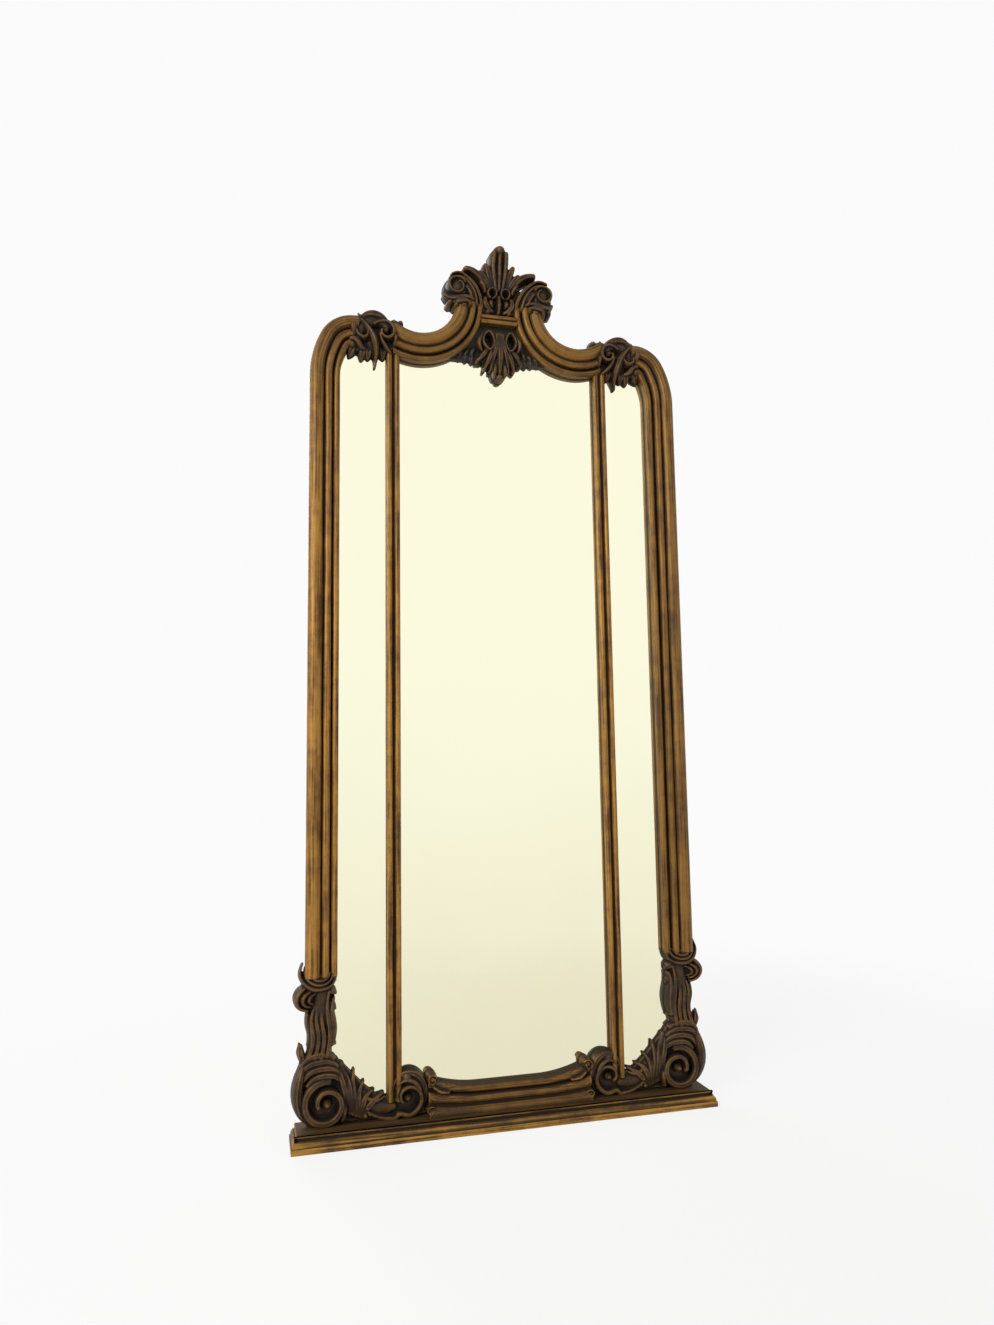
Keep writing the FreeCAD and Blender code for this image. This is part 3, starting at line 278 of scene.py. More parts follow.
# Painted shade: the apron's near-black colour stands in for the shade in the recess behind the pendant.
apron_dark = aged_gilt("apron_blackened_gilt", tone(42, 36, 28), tone(76, 65, 43), tone(27, 23, 18),
                       tone(15, 13, 11), 0.15, 0.2, 0.6, 0.0)
mirror_glass = silvered_glass()
back_pine = {axis: old_pine("old_pine_" + axis, tone(166, 126, 82), tone(112, 76, 43), axis) for axis in "xz"}
board_pine = old_pine("backboard_pine_z", tone(178, 142, 98), tone(128, 92, 56), "z")
brass = old_brass("hanger_brass", tone(178, 148, 92), tone(98, 80, 50))
steel = old_brass("screw_steel", tone(150, 148, 142), tone(84, 72, 60))


# Meshes

def to_metres(points):
    """Points of (x, z, height) on the frame's face, as places in metres."""
    p = np.asarray(points, float)
    return np.column_stack([p[:, 0], FACE - p[:, 2], p[:, 1]]) * MM


def mesh_object(name, points, faces, edges=()):
    mesh = bpy.data.meshes.new(name)
    mesh.from_pydata([tuple(p) for p in points], list(edges), [tuple(f) for f in faces])
    made = bpy.data.objects.new(name, mesh)
    bpy.context.scene.collection.objects.link(made)
    return made


def plain_mesh(host, name):
    """What a host's modifiers give, as a mesh of its own. The host is removed."""
    graph = bpy.context.evaluated_depsgraph_get()
    mesh = bpy.data.meshes.new_from_object(host.evaluated_get(graph), depsgraph=graph)
    mesh.name = name
    bpy.data.objects.remove(host)
    made = bpy.data.objects.new(name, mesh)
    bpy.context.scene.collection.objects.link(made)
    return made


def places_of(mesh):
    flat = np.empty(len(mesh.vertices) * 3)
    mesh.vertices.foreach_get("co", flat)
    return flat.reshape(-1, 3)


def relaxer(mesh):
    """A function that moves each value to the mean of its neighbours."""
    count = len(mesh.vertices)
    ends = np.empty(len(mesh.edges) * 2, np.int64)
    mesh.edges.foreach_get("vertices", ends)
    first, second = ends.reshape(-1, 2).T
    share = np.maximum(np.bincount(first, minlength=count) + np.bincount(second, minlength=count), 1)

    def relax(values):
        columns = [np.bincount(first, column[second], count) + np.bincount(second, column[first], count)
                   for column in values.T]
        return np.column_stack(columns) / share[:, None]

    return relax


def mark_hollows_and_crests(mesh, fine_depth, broad_depth, grain, spread=26, crest_boost=None):
    """Stores how hollow and how proud each point is, for soiling and painted shade in the hollows and for
    rubbing and painted highlight on the crests.
    """
    here = places_of(mesh)
    relax = relaxer(mesh)
    flat = np.empty(len(here) * 3)
    mesh.vertex_normals.foreach_get("vector", flat)
    normals = flat.reshape(-1, 3)
    near = here
    for _ in range(4):
        near = relax(near)
    far = near
    for _ in range(spread):
        far = relax(far)
    fine = ((near - here) * normals).sum(1) / (fine_depth * MM)
    broad = ((far - here) * normals).sum(1) / (broad_depth * MM)
    dip = relax((0.6 * fine + 0.7 * broad)[:, None])[:, 0]
    if crest_boost is not None:
        dip -= crest_boost(here)
    for name, values in (("hollow", np.clip(dip, 0, 1)), ("crest", np.clip(-dip, 0, 1))):
        layer = mesh.attributes.new(name, "FLOAT", "POINT")
        layer.data.foreach_set("value", values.astype(np.float32))
    layer = mesh.attributes.new("grain", "FLOAT_VECTOR", "POINT")
    layer.data.foreach_set("vector", grain(here).astype(np.float32).ravel())


def face_outwards(mesh, cut_at=None):
    """Turns all faces outwards, after a square cut at x where one is asked for."""
    b = bmesh.new()
    b.from_mesh(mesh)
    if cut_at is not None:
        everything = b.verts[:] + b.edges[:] + b.faces[:]
        cut = bmesh.ops.bisect_plane(b, geom=everything, plane_co=(cut_at * MM, 0, 0), plane_no=(1, 0, 0),
                                     clear_outer=True)
        rim = [e for e in cut["geom_cut"] if isinstance(e, bmesh.types.BMEdge)]
        bmesh.ops.edgeloop_fill(b, edges=rim)
    bmesh.ops.recalc_face_normals(b, faces=b.faces[:])
    b.to_mesh(mesh)
    b.free()


def smooth_shaded(mesh):
    mesh.polygons.foreach_set("use_smooth", np.ones(len(mesh.polygons), bool))


def mount(piece, body, slot, *stands_for):
    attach(piece, body)
    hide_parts(*stands_for)


def mirrored(piece, name):
    """The same piece for the other side of the frame."""
    mesh = piece.data.copy()
    mesh.name = name
    mesh.transform(Matrix.Scale(-1, 4, (1, 0, 0)))
    mesh.flip_normals()
    made = bpy.data.objects.new(name, mesh)
    bpy.context.scene.collection.objects.link(made)
    return made


def mount_pair(piece, name, slot, node):
    """A right-hand piece and its left-hand copy, each in its CAD node's place."""
    left = mirrored(piece, "left_" + name)
    mount(piece, "frame", slot, "right_" + node)
    mount(left, "frame", slot, "left_" + node)


# Lines

def smooth_line(points, count):
    """Even points on a natural cubic through a few chosen ones."""
    p = np.array(points, float)
    along = np.r_[0, np.cumsum(np.linalg.norm(np.diff(p, axis=0), axis=1))]
    gaps = np.diff(along)
    size = len(p)
    system = np.eye(size)
    pull = np.zeros_like(p)
    for i in range(1, size - 1):
        system[i, i - 1:i + 2] = gaps[i - 1], 2 * (gaps[i - 1] + gaps[i]), gaps[i]
        pull[i] = 6 * ((p[i + 1] - p[i]) / gaps[i] - (p[i] - p[i - 1]) / gaps[i - 1])
    bend = np.linalg.solve(system, pull)
    spots = np.linspace(0, along[-1], count)
    i = np.clip(np.searchsorted(along, spots, side="right") - 1, 0, size - 2)
    gap = gaps[i][:, None]
    after = (spots - along[i])[:, None]
    before = (along[i + 1] - spots)[:, None]
    return ((bend[i] * before ** 3 + bend[i + 1] * after ** 3) / (6 * gap)
            + (p[i] / gap - bend[i] * gap / 6) * before
            + (p[i + 1] / gap - bend[i + 1] * gap / 6) * after)


def spiral(eye, stations, step=8):
    """Line round an eye through (angle in degrees, radius) stations, angles from outwards to up."""
    angles = np.array([a for a, _ in stations], float)
    radii = np.array([r for _, r in stations], float)
    order = np.argsort(angles)
    count = int(abs(angles[-1] - angles[0]) / step) + 1
    turn = np.linspace(angles[0], angles[-1], count)
    reach = np.interp(turn, angles[order], radii[order])
    for _ in range(3):
        reach[1:-1] = (reach[:-2] + 2 * reach[1:-1] + reach[2:]) / 4
    turn = np.radians(turn)
    return np.column_stack([eye[0] + reach * np.cos(turn), eye[1] + reach * np.sin(turn)])


def arc_line(start, middle, end, count):
    """Points on the arc through three points."""
    a, b, c = (complex(*p) for p in (start, middle, end))
    w = (c - a) / (b - a)
    centre = (b - a) * (w - abs(w) ** 2) / (2j * w.imag) + a
    spin = [np.angle((p - centre) / (a - centre)) % (2 * math.pi) for p in (b, c)]
    sweep = spin[1] if spin[0] < spin[1] else spin[1] - 2 * math.pi
    turned = centre + (a - centre) * np.exp(1j * np.linspace(0, sweep, count))
    return [(p.real, p.imag) for p in turned]


# Carving

def eased(sizes, share):
    """Sizes at the root, the belly and the tip, eased along a leaf."""
    place = np.clip(share, 0, 1) * (len(sizes) - 1)
    low = np.minimum(place.astype(int), len(sizes) - 2)
    part = (1 - np.cos(np.pi * (place - low))) / 2
    sizes = np.array(sizes, float)
    return sizes[low] * (1 - part) + sizes[low + 1] * part


FLUTE_DEPTH = 0.3
POINTS_PER_FLUTE = 8
STROKE_STEP = 2.2


def crown(flutes, dish):
    """Offsets across a stroke, the rise at each, and the cut of its flutes as a share of a flute's width."""
    across = np.linspace(-1, 1, max(15, flutes * POINTS_PER_FLUTE + 1))
    dome = (1 - np.abs(across) ** 2.4) ** 0.5
    within = ((across + 1) * flutes / 2) % 1
    cut = FLUTE_DEPTH * (0.5 + 0.5 * np.cos(2 * math.pi * within)) * dome if flutes > 1 else across * 0
    return across, dome * (1 - dish * np.exp(-(across / 0.45) ** 2)), cut


class Carving:
    """Clay built up from strokes, bosses and plates, then made one skin."""

    def __init__(self):
        self.points = []
        self.faces = []

    def add(self, points, faces):
        start = len(self.points)
        self.points += [tuple(p) for p in points]
        self.faces += [[start + i for i in face] for face in faces]

    def stroke(self, line, widths, heights, flutes=1, dish=0.0, drawn=False):
        """Leaf, rib or band along a line, with half widths and heights at root, belly and tip."""
        p = np.array(line, float)
        if not drawn:
            length = np.linalg.norm(np.diff(p, axis=0), axis=1).sum()
            p = smooth_line(p, max(8, int(length / STROKE_STEP)))
        run = np.r_[0, np.cumsum(np.linalg.norm(np.diff(p, axis=0), axis=1))]
        share = run / run[-1]
        half = eased(widths, share)
        height = eased(heights, share)
        cap = np.minimum(np.maximum(half, 1.0), run[-1] / 3)
        near_end = np.clip(np.minimum(run, run[-1] - run) / cap, 0.02, 1)
        rounding = np.sqrt(1 - (1 - near_end) ** 2)
        half = half * rounding
        height = height * (0.4 + 0.6 * rounding)
        along = np.gradient(p, axis=0)
        along /= np.linalg.norm(along, axis=1)[:, None]
        side = np.column_stack([along[:, 1], -along[:, 0]])
        across, dome, cut = crown(flutes, dish)
        wide = len(across)
        flat = p[:, None, :] + side[:, None, :] * (half[:, None] * across)[:, :, None]
        rise = height[:, None] * dome - (2 * half / flutes)[:, None] * cut
        points = np.dstack([flat, np.maximum(rise, 0)]).reshape(-1, 3)
        faces = []
        for i in range(len(p) - 1):
            for j in range(wide):
                k = (j + 1) % wide
                faces.append((i * wide + j, i * wide + k, (i + 1) * wide + k, (i + 1) * wide + j))
        last = (len(p) - 1) * wide
        faces.append(tuple(range(wide - 1, -1, -1)))
        faces.append(tuple(last + j for j in range(wide)))
        self.add(points, faces)

    def boss(self, x, z, radius, height, tall=1.0, foot=0.0):
        """Domed boss, taller than wide where tall is above 1, standing on a foot."""
        sides = 28
        rings = 9
        points = []
        for i in range(rings):
            tilt = math.pi / 2 * i / rings
            for j in range(sides):
                turn = 2 * math.pi * j / sides
                points.append((x + radius * math.cos(tilt) * math.cos(turn),
                               z + radius * tall * math.cos(tilt) * math.sin(turn),
                               foot + (height - foot) * math.sin(tilt)))
        points.append((x, z, height))
        faces = [tuple(range(sides - 1, -1, -1))]
        for i in range(rings - 1):
            for j in range(sides):
                k = (j + 1) % sides
                faces.append((i * sides + j, i * sides + k, (i + 1) * sides + k, (i + 1) * sides + j))
        top = (rings - 1) * sides
        faces += [(top + j, top + (j + 1) % sides, rings * sides) for j in range(sides)]
        self.add(points, faces)

    def plate(self, outline, height):
        """Flat ground with a closed outline."""
        count = len(outline)
        points = [(x, z, 0.0) for x, z in outline] + [(x, z, height) for x, z in outline]
        faces = [tuple(range(count - 1, -1, -1)), tuple(range(count, 2 * count))]
        faces += [(i, (i + 1) % count, count + (i + 1) % count, count + i) for i in range(count)]
        self.add(points, faces)

    def both(self, maker):
        """Runs a maker of strokes for the right side and again mirrored."""
        start_point = len(self.points)
        start_face = len(self.faces)
        maker()
        offset = len(self.points) - start_point
        self.points += [(-x, z, h) for x, z, h in self.points[start_point:]]
        self.faces += [[i + offset for i in reversed(face)] for face in self.faces[start_face:]]

    def piece(self, name, finish, grain_way=(60.0, 60.0, 60.0), voxel=1.15, lift=0.0):
        """The strokes as one closed skin in a finish."""
        raised = [(x, z, h + lift if h > 0 else h) for x, z, h in self.points]
        host = mesh_object("clay", to_metres(raised), self.faces)
        skin = host.modifiers.new("skin", "REMESH")
        skin.mode = "VOXEL"
        skin.voxel_size = voxel * MM
        made = plain_mesh(host, name)
        mesh = made.data
        relax = relaxer(mesh)
        here = places_of(mesh)
        for amount in (0.5, -0.42, 0.5, -0.42):
            here = here + amount * (relax(here) - here)
        mesh.vertices.foreach_set("co", here.ravel())
        mesh.update()
        smooth_shaded(mesh)
        way = np.array(grain_way) / 100.0
        mark_hollows_and_crests(mesh, 0.35, 1.3, lambda p: p * way)
        mesh.materials.append(finish)
        return made


# Mouldings

INNER_BEAD = 13.0
GROOVE = 6.0
MIDDLE_BEAD = 11.0
QUIRK = 3.0


def moulding_section(width):
    """Section from the sight edge outwards, as (distance from the sight edge, height)."""
    groove_end = INNER_BEAD + GROOVE
    bead_end = groove_end + MIDDLE_BEAD
    torus = bead_end + QUIRK
    crown_at = torus + (width - torus) * 0.45
    section = [(0.0, h) for h in np.linspace(0, 13.5, 8)]
    section += arc_line((0.0, 15.0), (INNER_BEAD / 2, 21.0), (INNER_BEAD, 15.0), 13)
    section += arc_line((INNER_BEAD + 0.4, 14.4), (INNER_BEAD + GROOVE / 2, 12.0),
                        (groove_end - 0.4, 14.4), 7)
    section += arc_line((groove_end, 15.0), (groove_end + MIDDLE_BEAD / 2, 28.0), (bead_end, 24.0), 15)
    section += [(bead_end + 0.8, 22.0), (bead_end + QUIRK / 2, 20.5), (torus - 0.8, 22.0)]
    section += arc_line((torus, 24.0), (crown_at, 33.0), (width, 10.0), 21)
    section += [(width, h) for h in np.linspace(9.0, 0, 6)]
    return section


def mullion_section(width=27.0, reed=11.0, side=12.0, crest=17.0):
    half = width / 2
    section = [(-half, h) for h in np.linspace(0, side - 1, 6)]
    section += arc_line((-half, side), (-half + reed / 2, crest), (-half + reed, side), 11)
    section += arc_line((-half + reed + 0.4, side - 0.6), (0.0, side - 2.2),
                        (half - reed - 0.4, side - 0.6), 7)
    section += arc_line((half - reed, side), (half - reed / 2, crest), (half, side), 11)
    return section + [(half, h) for h in np.linspace(side - 1, 0, 6)]


def geometry_tree(name, sizes):
    """An empty geometry tree with one geometry in, one out, and named inputs."""
    tree = bpy.data.node_groups.new(name, "GeometryNodeTree")
    tree.interface.new_socket("Geometry", in_out="INPUT", socket_type="NodeSocketGeometry")
    for label, kind in sizes:
        tree.interface.new_socket(label, in_out="INPUT", socket_type=kind)
    tree.interface.new_socket("Geometry", in_out="OUTPUT", socket_type="NodeSocketGeometry")
    maker = NodeMaker(tree)
    return maker, maker.node("NodeGroupInput")


def run_tree(host, maker, name, values):
    """Runs a tree on a host with its inputs set, and gives the mesh it makes."""
    modifier = host.modifiers.new("build", "NODES")
    modifier.node_group = maker.tree
    for item in maker.tree.interface.items_tree:
        if item.in_out == "INPUT" and item.name in values:
            modifier[item.identifier] = values[item.name]
    return plain_mesh(host, name)


def end_tree(m, geometry, finish):
    """Smooth shading, finish and real geometry at the end of a tree."""
    geometry = m.node("GeometryNodeSetShadeSmooth", {}, {"Geometry": geometry})
    geometry = m.node("GeometryNodeSetMaterial", {}, {"Geometry": geometry, "Material": finish})
    geometry = m.node("GeometryNodeRealizeInstances", {}, {"Geometry": geometry})
    m.node("NodeGroupOutput", {}, {"Geometry": geometry})


def moulding_tree():
    """Sweeps a section along a path, with the waver of hand work, and stores the way of the grain."""
    m, start = geometry_tree("swept_moulding", [
        ("Section", "NodeSocketObject"), ("Step", "NodeSocketFloat"), ("Waver", "NodeSocketFloat"),
        ("Finish", "NodeSocketMaterial")])
    path = m.node("GeometryNodeMeshToCurve", {}, {"Mesh": start})
    path = m.node("GeometryNodeResampleCurve", {"mode": "LENGTH"},
                  {"Curve": path, "Length": start.other("Step")})
    path = m.node("GeometryNodeSetCurveNormal", {"mode": "FREE"},
                  {"Curve": path, "Normal": (0.0, -1.0, 0.0)})
    length = m.node("GeometryNodeSplineParameter", {}, {}, "Length")
    path = m.node("GeometryNodeStoreNamedAttribute", {"data_type": "FLOAT", "domain": "POINT"},
                  {"Geometry": path, "Name": "along", "Value": length})
    section = m.node("GeometryNodeObjectInfo", {}, {"Object": start.other("Section")}, "Geometry")
    section = m.node("GeometryNodeMeshToCurve", {}, {"Mesh": section})
    section = m.node("GeometryNodeStoreNamedAttribute", {"data_type": "FLOAT", "domain": "POINT"},
                     {"Geometry": section, "Name": "across", "Value": length})
    swept = m.node("GeometryNodeCurveToMesh", {},
                   {"Curve": path, "Profile Curve": section, "Fill Caps": True})
    place = m.node("GeometryNodeInputPosition")
    waver = m.node("ShaderNodeTexNoise", {}, {"Vector": place, "Scale": 26.0, "Detail": 3.0}, "Fac")
    normal = m.node("GeometryNodeInputNormal")
    push = m.node("ShaderNodeVectorMath", {"operation": "SCALE"},
                  {0: normal, "Scale": (waver - 0.5) * start.other("Waver")})
    swept = m.node("GeometryNodeSetPosition", {}, {"Geometry": swept, "Offset": push})
    end_tree(m, swept, start.other("Finish"))
    return m


sweep_moulding = moulding_tree()


def swept(name, path, section, finish, waver=0.6, step=4.0, closed=False, cut_at=None):
    """A moulding along (x, z) points, its section given as (offset to the path's right, height)."""
    ring = [(h * MM, x * MM, 0.0) for x, h in section]
    links = [(i, (i + 1) % len(ring)) for i in range(len(ring))]
    profile = mesh_object("section", ring, (), links)
    track = [(x * MM, FACE * MM, z * MM) for x, z in path]
    links = [(i, i + 1) for i in range(len(track) - 1)]
    if closed:
        links.append((len(track) - 1, 0))
    host = mesh_object("track", track, (), links)
    made = run_tree(host, sweep_moulding, name, {
        "Section": profile, "Step": step * MM, "Waver": waver * MM, "Finish": finish})
    bpy.data.objects.remove(profile)
    mesh = made.data
    face_outwards(mesh, cut_at)
    along = np.empty(len(mesh.vertices))
    across = np.empty(len(mesh.vertices))
    mesh.attributes["along"].data.foreach_get("value", along)
    mesh.attributes["across"].data.foreach_get("value", across)
    mark_hollows_and_crests(mesh, 0.5, 3.2, lambda p: np.column_stack([along, across, across * 0]), 90)
    return made


def turn_line(centre, radius, start, end, step=2.0):
    count = max(3, int(abs(end - start) / step) + 1)
    turn = np.radians(np.linspace(start, end, count))
    return [(centre[0] + radius * math.cos(a), centre[1] + radius * math.sin(a)) for a in turn]


def stile_path():
    """Up the outer edge of the right stile and over its shoulder."""
    foot = 300.0
    under_clasp = 8.0
    run, rise, radius = 86.0, 130.0, 72.0
    top = 1610.0
    drop = rise - radius
    large = (run ** 2 + drop ** 2 - radius ** 2) / (2 * (run - radius))
    bend = math.degrees(math.atan2(drop, large - run))
    spring = top - rise
    path = [(HALF_WIDTH, z) for z in np.linspace(foot, spring, 60)]
    path += turn_line((HALF_WIDTH - large, spring), large, 0, bend)[1:]
    path += turn_line((HALF_WIDTH - run, top - radius), radius, bend, 90)[1:]
    return path + [(HALF_WIDTH - run - under_clasp, top)]


def make_mouldings():
    width = 58.0
    section = moulding_section(width)
    from_outer = [(x - width, h) for x, h in section]
    outwards = [(width - x, h) for x, h in section]
    stile = swept("right_stile_reeds", stile_path(), from_outer, moulding_gilt)
    mount_pair(stile, "stile_reeds", "moulding_gilt", "stile_moulding")
    neck = turn_line(SWAN_CENTRE, SWAN_RADIUS, 178, 316)
    swan = swept("right_swan_reeds", neck, outwards, moulding_gilt, cut_at=228.0)
    mount_pair(swan, "swan_reeds", "moulding_gilt", "swan_neck")
    bar = [(MULLION_X, z) for z in np.linspace(60, 1546, 60)]
    mount_pair(swept("right_mullion_reeds", bar, mullion_section(), moulding_gilt, 0.4),
               "mullion_reeds", "moulding_gilt", "mullion")


make_mouldings()


# Carved pieces

def carve_corner_volute():
    """Volute on the plinth, the fluted leaf that wraps it, and the spray that runs to the foot scroll."""
    eye_x, eye_z = CORNER_EYE
    c = Carving()
    c.boss(eye_x, eye_z, 40, 10)
    c.plate([(326, 32), (392, 32), (408, 70), (404, 150), (340, 152), (318, 130), (284, 94), (262, 76),
             (270, 34)], 8)
    c.stroke([(334, 112), (350, 134), (376, 138), (398, 116)], (16, 20, 14), (17, 21, 18))
    c.stroke([(324, 40), (320, 90), (331, 142)], (10, 15, 7), (17, 19, 12))
    c.stroke([(302, 38), (297, 74), (268, 80)], (13, 17, 5), (15, 17, 9))
    c.stroke(spiral(CORNER_EYE, [(112, 42), (60, 40), (0, 36.5), (-90, 33), (-180, 31), (-270, 24),
                                 (-330, 15.5), (-400, 10)]), (9, 9, 6), (25, 29, 32), dish=0.12, drawn=True)
    c.boss(eye_x - 4, eye_z + 2, 9, 34)
    c.stroke([(403, 178), (398, 152), (404, 122), (409, 92), (405, 62), (391, 42), (372, 34)],
             (3, 11.5, 6), (14, 29, 19), flutes=3)
    wraps = [
        [(324, 98), (336, 116), (357, 122), (378, 117), (393, 101)],
        [(326, 115), (342, 131), (362, 135), (384, 129), (401, 110)],
        [(331, 131), (350, 145), (370, 147), (391, 140), (405, 122)],
        [(338, 147), (356, 157), (374, 159), (392, 152), (404, 137)],
    ]
    for line in wraps:
        c.stroke(line, (5, 8.5, 5), (19, 28, 20), flutes=2)
    c.stroke([(396, 142), (403, 162), (406, 181)], (7, 8, 2), (14, 17, 8), flutes=2)
    spray = [
        [(319, 46), (320, 84), (328, 116), (337, 150)],
        [(312, 43), (311, 78), (315, 106), (323, 132)],
        [(306, 41), (304, 70), (306, 98), (304, 127)],
        [(300, 38), (297, 64), (294, 86), (284, 104)],
        [(294, 36), (289, 58), (280, 77), (264, 85)],
        [(290, 34), (281, 52), (268, 66), (246, 78)],
    ]
    for i, line in enumerate(spray):
        c.stroke(line, (5, 8.5, 3), (18, 27 - i, 10), flutes=2)
    c.stroke([(328, 33), (322, 52), (323, 78)], (6, 7, 3), (20, 26, 19))
    for x, z, radius in ((283, 41, 6.5), (279, 54, 5), (274, 43, 4.5)):
        c.boss(x, z, radius, 22)
    carving = c.piece("right_corner_carving", carving_gilt)
    mount_pair(carving, "corner_carving", "carving_gilt", "corner_volute")


def carve_stile_leaf():
    """Upright acanthus: a cup round the stile's foot, a rolled ball and waving ribs."""
    c = Carving()
    c.stroke([(366, 300), (366, 262), (367, 210), (368, 148)], (18, 22, 23), (20, 21, 20))
    c.stroke([(368, 296), (370, 284), (370, 270)], (24, 26, 12), (24, 25, 20))
    cup = [
        ([(400, 326), (405, 304), (391, 285), (366, 279), (345, 286), (337, 307)],
         (2.5, 7.5, 3), (14, 32, 16)),
        ([(394, 320), (396, 305), (384, 292), (366, 288), (350, 294), (344, 309)],
         (2.5, 6, 3), (20, 36, 22)),
        ([(388, 316), (387, 306), (378, 298), (366, 296), (355, 300), (350, 310)],
         (2.5, 5, 3), (24, 38, 26)),
    ]
    for line, widths, heights in cup:
        c.stroke(line, widths, heights)
    c.boss(393, 262, 17, 20)
    ball = [
        ([(376, 285), (397, 281), (411, 264), (406, 246), (388, 238)], (4, 7.5, 4), (22, 28, 18)),
        ([(375, 278), (391, 273), (400, 263), (396, 251), (384, 246)], (3, 6, 3.5), (23, 33, 22)),
        ([(374, 271), (384, 268), (389, 261), (386, 254), (379, 251)], (3, 5, 3), (23, 34, 22)),
    ]
    for line, widths, heights in ball:
        c.stroke(line, widths, heights)
    ribs = [
        [(342, 262), (346, 236), (342, 206), (347, 172)],
        [(351, 276), (355, 243), (350, 205), (356, 150)],
        [(360, 252), (365, 225), (361, 196), (367, 148)],
        [(370, 250), (375, 226), (371, 196), (379, 148)],
        [(379, 244), (384, 222), (381, 196), (391, 150)],
    ]
    for line in ribs:
        c.stroke(line, (4, 7, 6.5), (21, 28, 26), flutes=2)
    c.stroke([(391, 236), (391, 214), (387, 196), (391, 172)], (4, 5.5, 3), (16, 20, 17))
    for z, reach in ((292, 9), (268, 10), (240, 9), (203, 10), (176, 9)):
        c.stroke([(354, z + 14), (346, z + 5), (346 - reach, z - 4)], (7, 8.5, 3.5), (20, 21, 9), flutes=2)
    mount_pair(c.piece("right_stile_carving", carving_gilt), "stile_carving", "carving_gilt", "stile_leaf")


def carve_foot_scroll():
    """C-scroll bowl that a mullion stands on, with a leaf humped over its eye."""
    eye = (203.0, 67.0)
    c = Carving()
    c.plate([(172, 33), (292, 33), (286, 62), (246, 70), (226, 74), (222, 98), (200, 108), (176, 90)], 8)
    c.stroke([(288, 64), (264, 52), (240, 50), (222, 54)], (8, 15, 11), (13, 16, 15))
    rim = np.vstack([smooth_line([(292, 70), (283, 52), (264, 39), (242, 33), (220, 33)], 40),
                     spiral(eye, [(-58, 34), (-90, 31), (-180, 26), (-270, 20), (-360, 14), (-430, 9.5)])])
    c.stroke(smooth_line(rim[::4], 120), (3.5, 6.5, 4.4), (18, 27, 30), dish=0.1, drawn=True)
    c.boss(*eye, 7.5, 29)
    c.stroke([(290, 80), (276, 70), (258, 66), (243, 72)], (3, 6, 2), (15, 19, 9), flutes=2)
    humps = [
        ([(231, 84), (221, 103), (203, 112), (184, 106), (171, 86), (169, 62), (179, 40)],
         (3, 9, 5), (14, 25, 15)),
        ([(226, 82), (216, 94), (203, 99), (190, 95), (181, 82), (179, 64), (186, 46)],
         (3, 6.5, 3), (18, 29, 18)),
    ]
    for line, widths, heights in humps:
        c.stroke(line, widths, heights, flutes=2)
    c.boss(203, 103, 15, 23)
    mount_pair(c.piece("right_foot_carving", carving_gilt), "foot_carving", "carving_gilt", "foot_scroll")


def carve_top_clasp():
    """Leaf and scroll over the meeting of stile, swan neck and mullion."""
    eye = (244.0, 1582.0)
    c = Carving()
    c.plate([(222, 1556), (240, 1542), (306, 1542), (312, 1560), (308, 1600), (290, 1610), (250, 1610),
             (226, 1600)], 15)
    c.stroke([(300, 1548), (296, 1580), (280, 1602), (250, 1602), (236, 1584)], (8, 18, 12), (20, 30, 30))
    c.stroke([(270, 1590), (268, 1560), (266, 1532)], (20, 20, 6), (26, 26, 12))
    c.stroke([(300, 1598), (286, 1614), (268, 1617), (250, 1612), (235, 1597)],
             (6, 11, 6), (30, 38, 30), flutes=2)
    c.stroke([(304, 1590), (298, 1608), (300, 1626)], (8, 8, 2), (34, 34, 14), flutes=2)
    c.stroke([(242, 1598), (228, 1603), (214, 1607)], (7, 9, 7), (28, 35, 24))
    c.boss(213, 1607, 8.5, 28)
    c.stroke(spiral(eye, [(22, 29), (72, 22.5), (143, 17), (208, 16), (258, 14.5), (330, 10.5), (400, 7)]),
             (4.5, 5.6, 4), (34, 42, 40), dish=0.1, drawn=True)
    c.boss(*eye, 6.5, 43)
    c.stroke([(226, 1584), (224, 1570), (226, 1554)], (5, 7, 4), (30, 37, 24))
    c.stroke([(257, 1579), (253, 1564), (242, 1549), (229, 1540)], (4.5, 6, 4.5), (36, 33, 20))
    c.stroke([(298, 1606), (280, 1585), (268, 1562), (263, 1538), (265, 1510)],
             (7, 10.5, 3), (34, 39, 12), flutes=3)
    c.stroke([(304, 1586), (301, 1570), (288, 1564), (281, 1574), (286, 1585)], (4.5, 6, 3.5), (32, 38, 31))
    c.stroke([(309, 1603), (311, 1584), (306, 1566)], (6, 8.5, 5), (34, 40, 28), flutes=2)
    c.stroke([(320, 1563), (305, 1561), (294, 1548), (281, 1545)], (6, 8, 5), (28, 31, 21), flutes=2)
    c.boss(312, 1552, 9, 26)
    fringe = [
        [(304, 1558), (312, 1543), (319, 1528)],
        [(286, 1556), (290, 1541), (293, 1523)],
        [(252, 1556), (249, 1544), (247, 1529)],
        [(276, 1552), (278, 1540), (279, 1526)],
    ]
    for line in fringe:
        c.stroke(line, (9, 10, 4.5), (19, 19, 8), flutes=2)
    mount_pair(c.piece("right_clasp_carving", carving_gilt), "clasp_carving", "carving_gilt", "top_clasp")


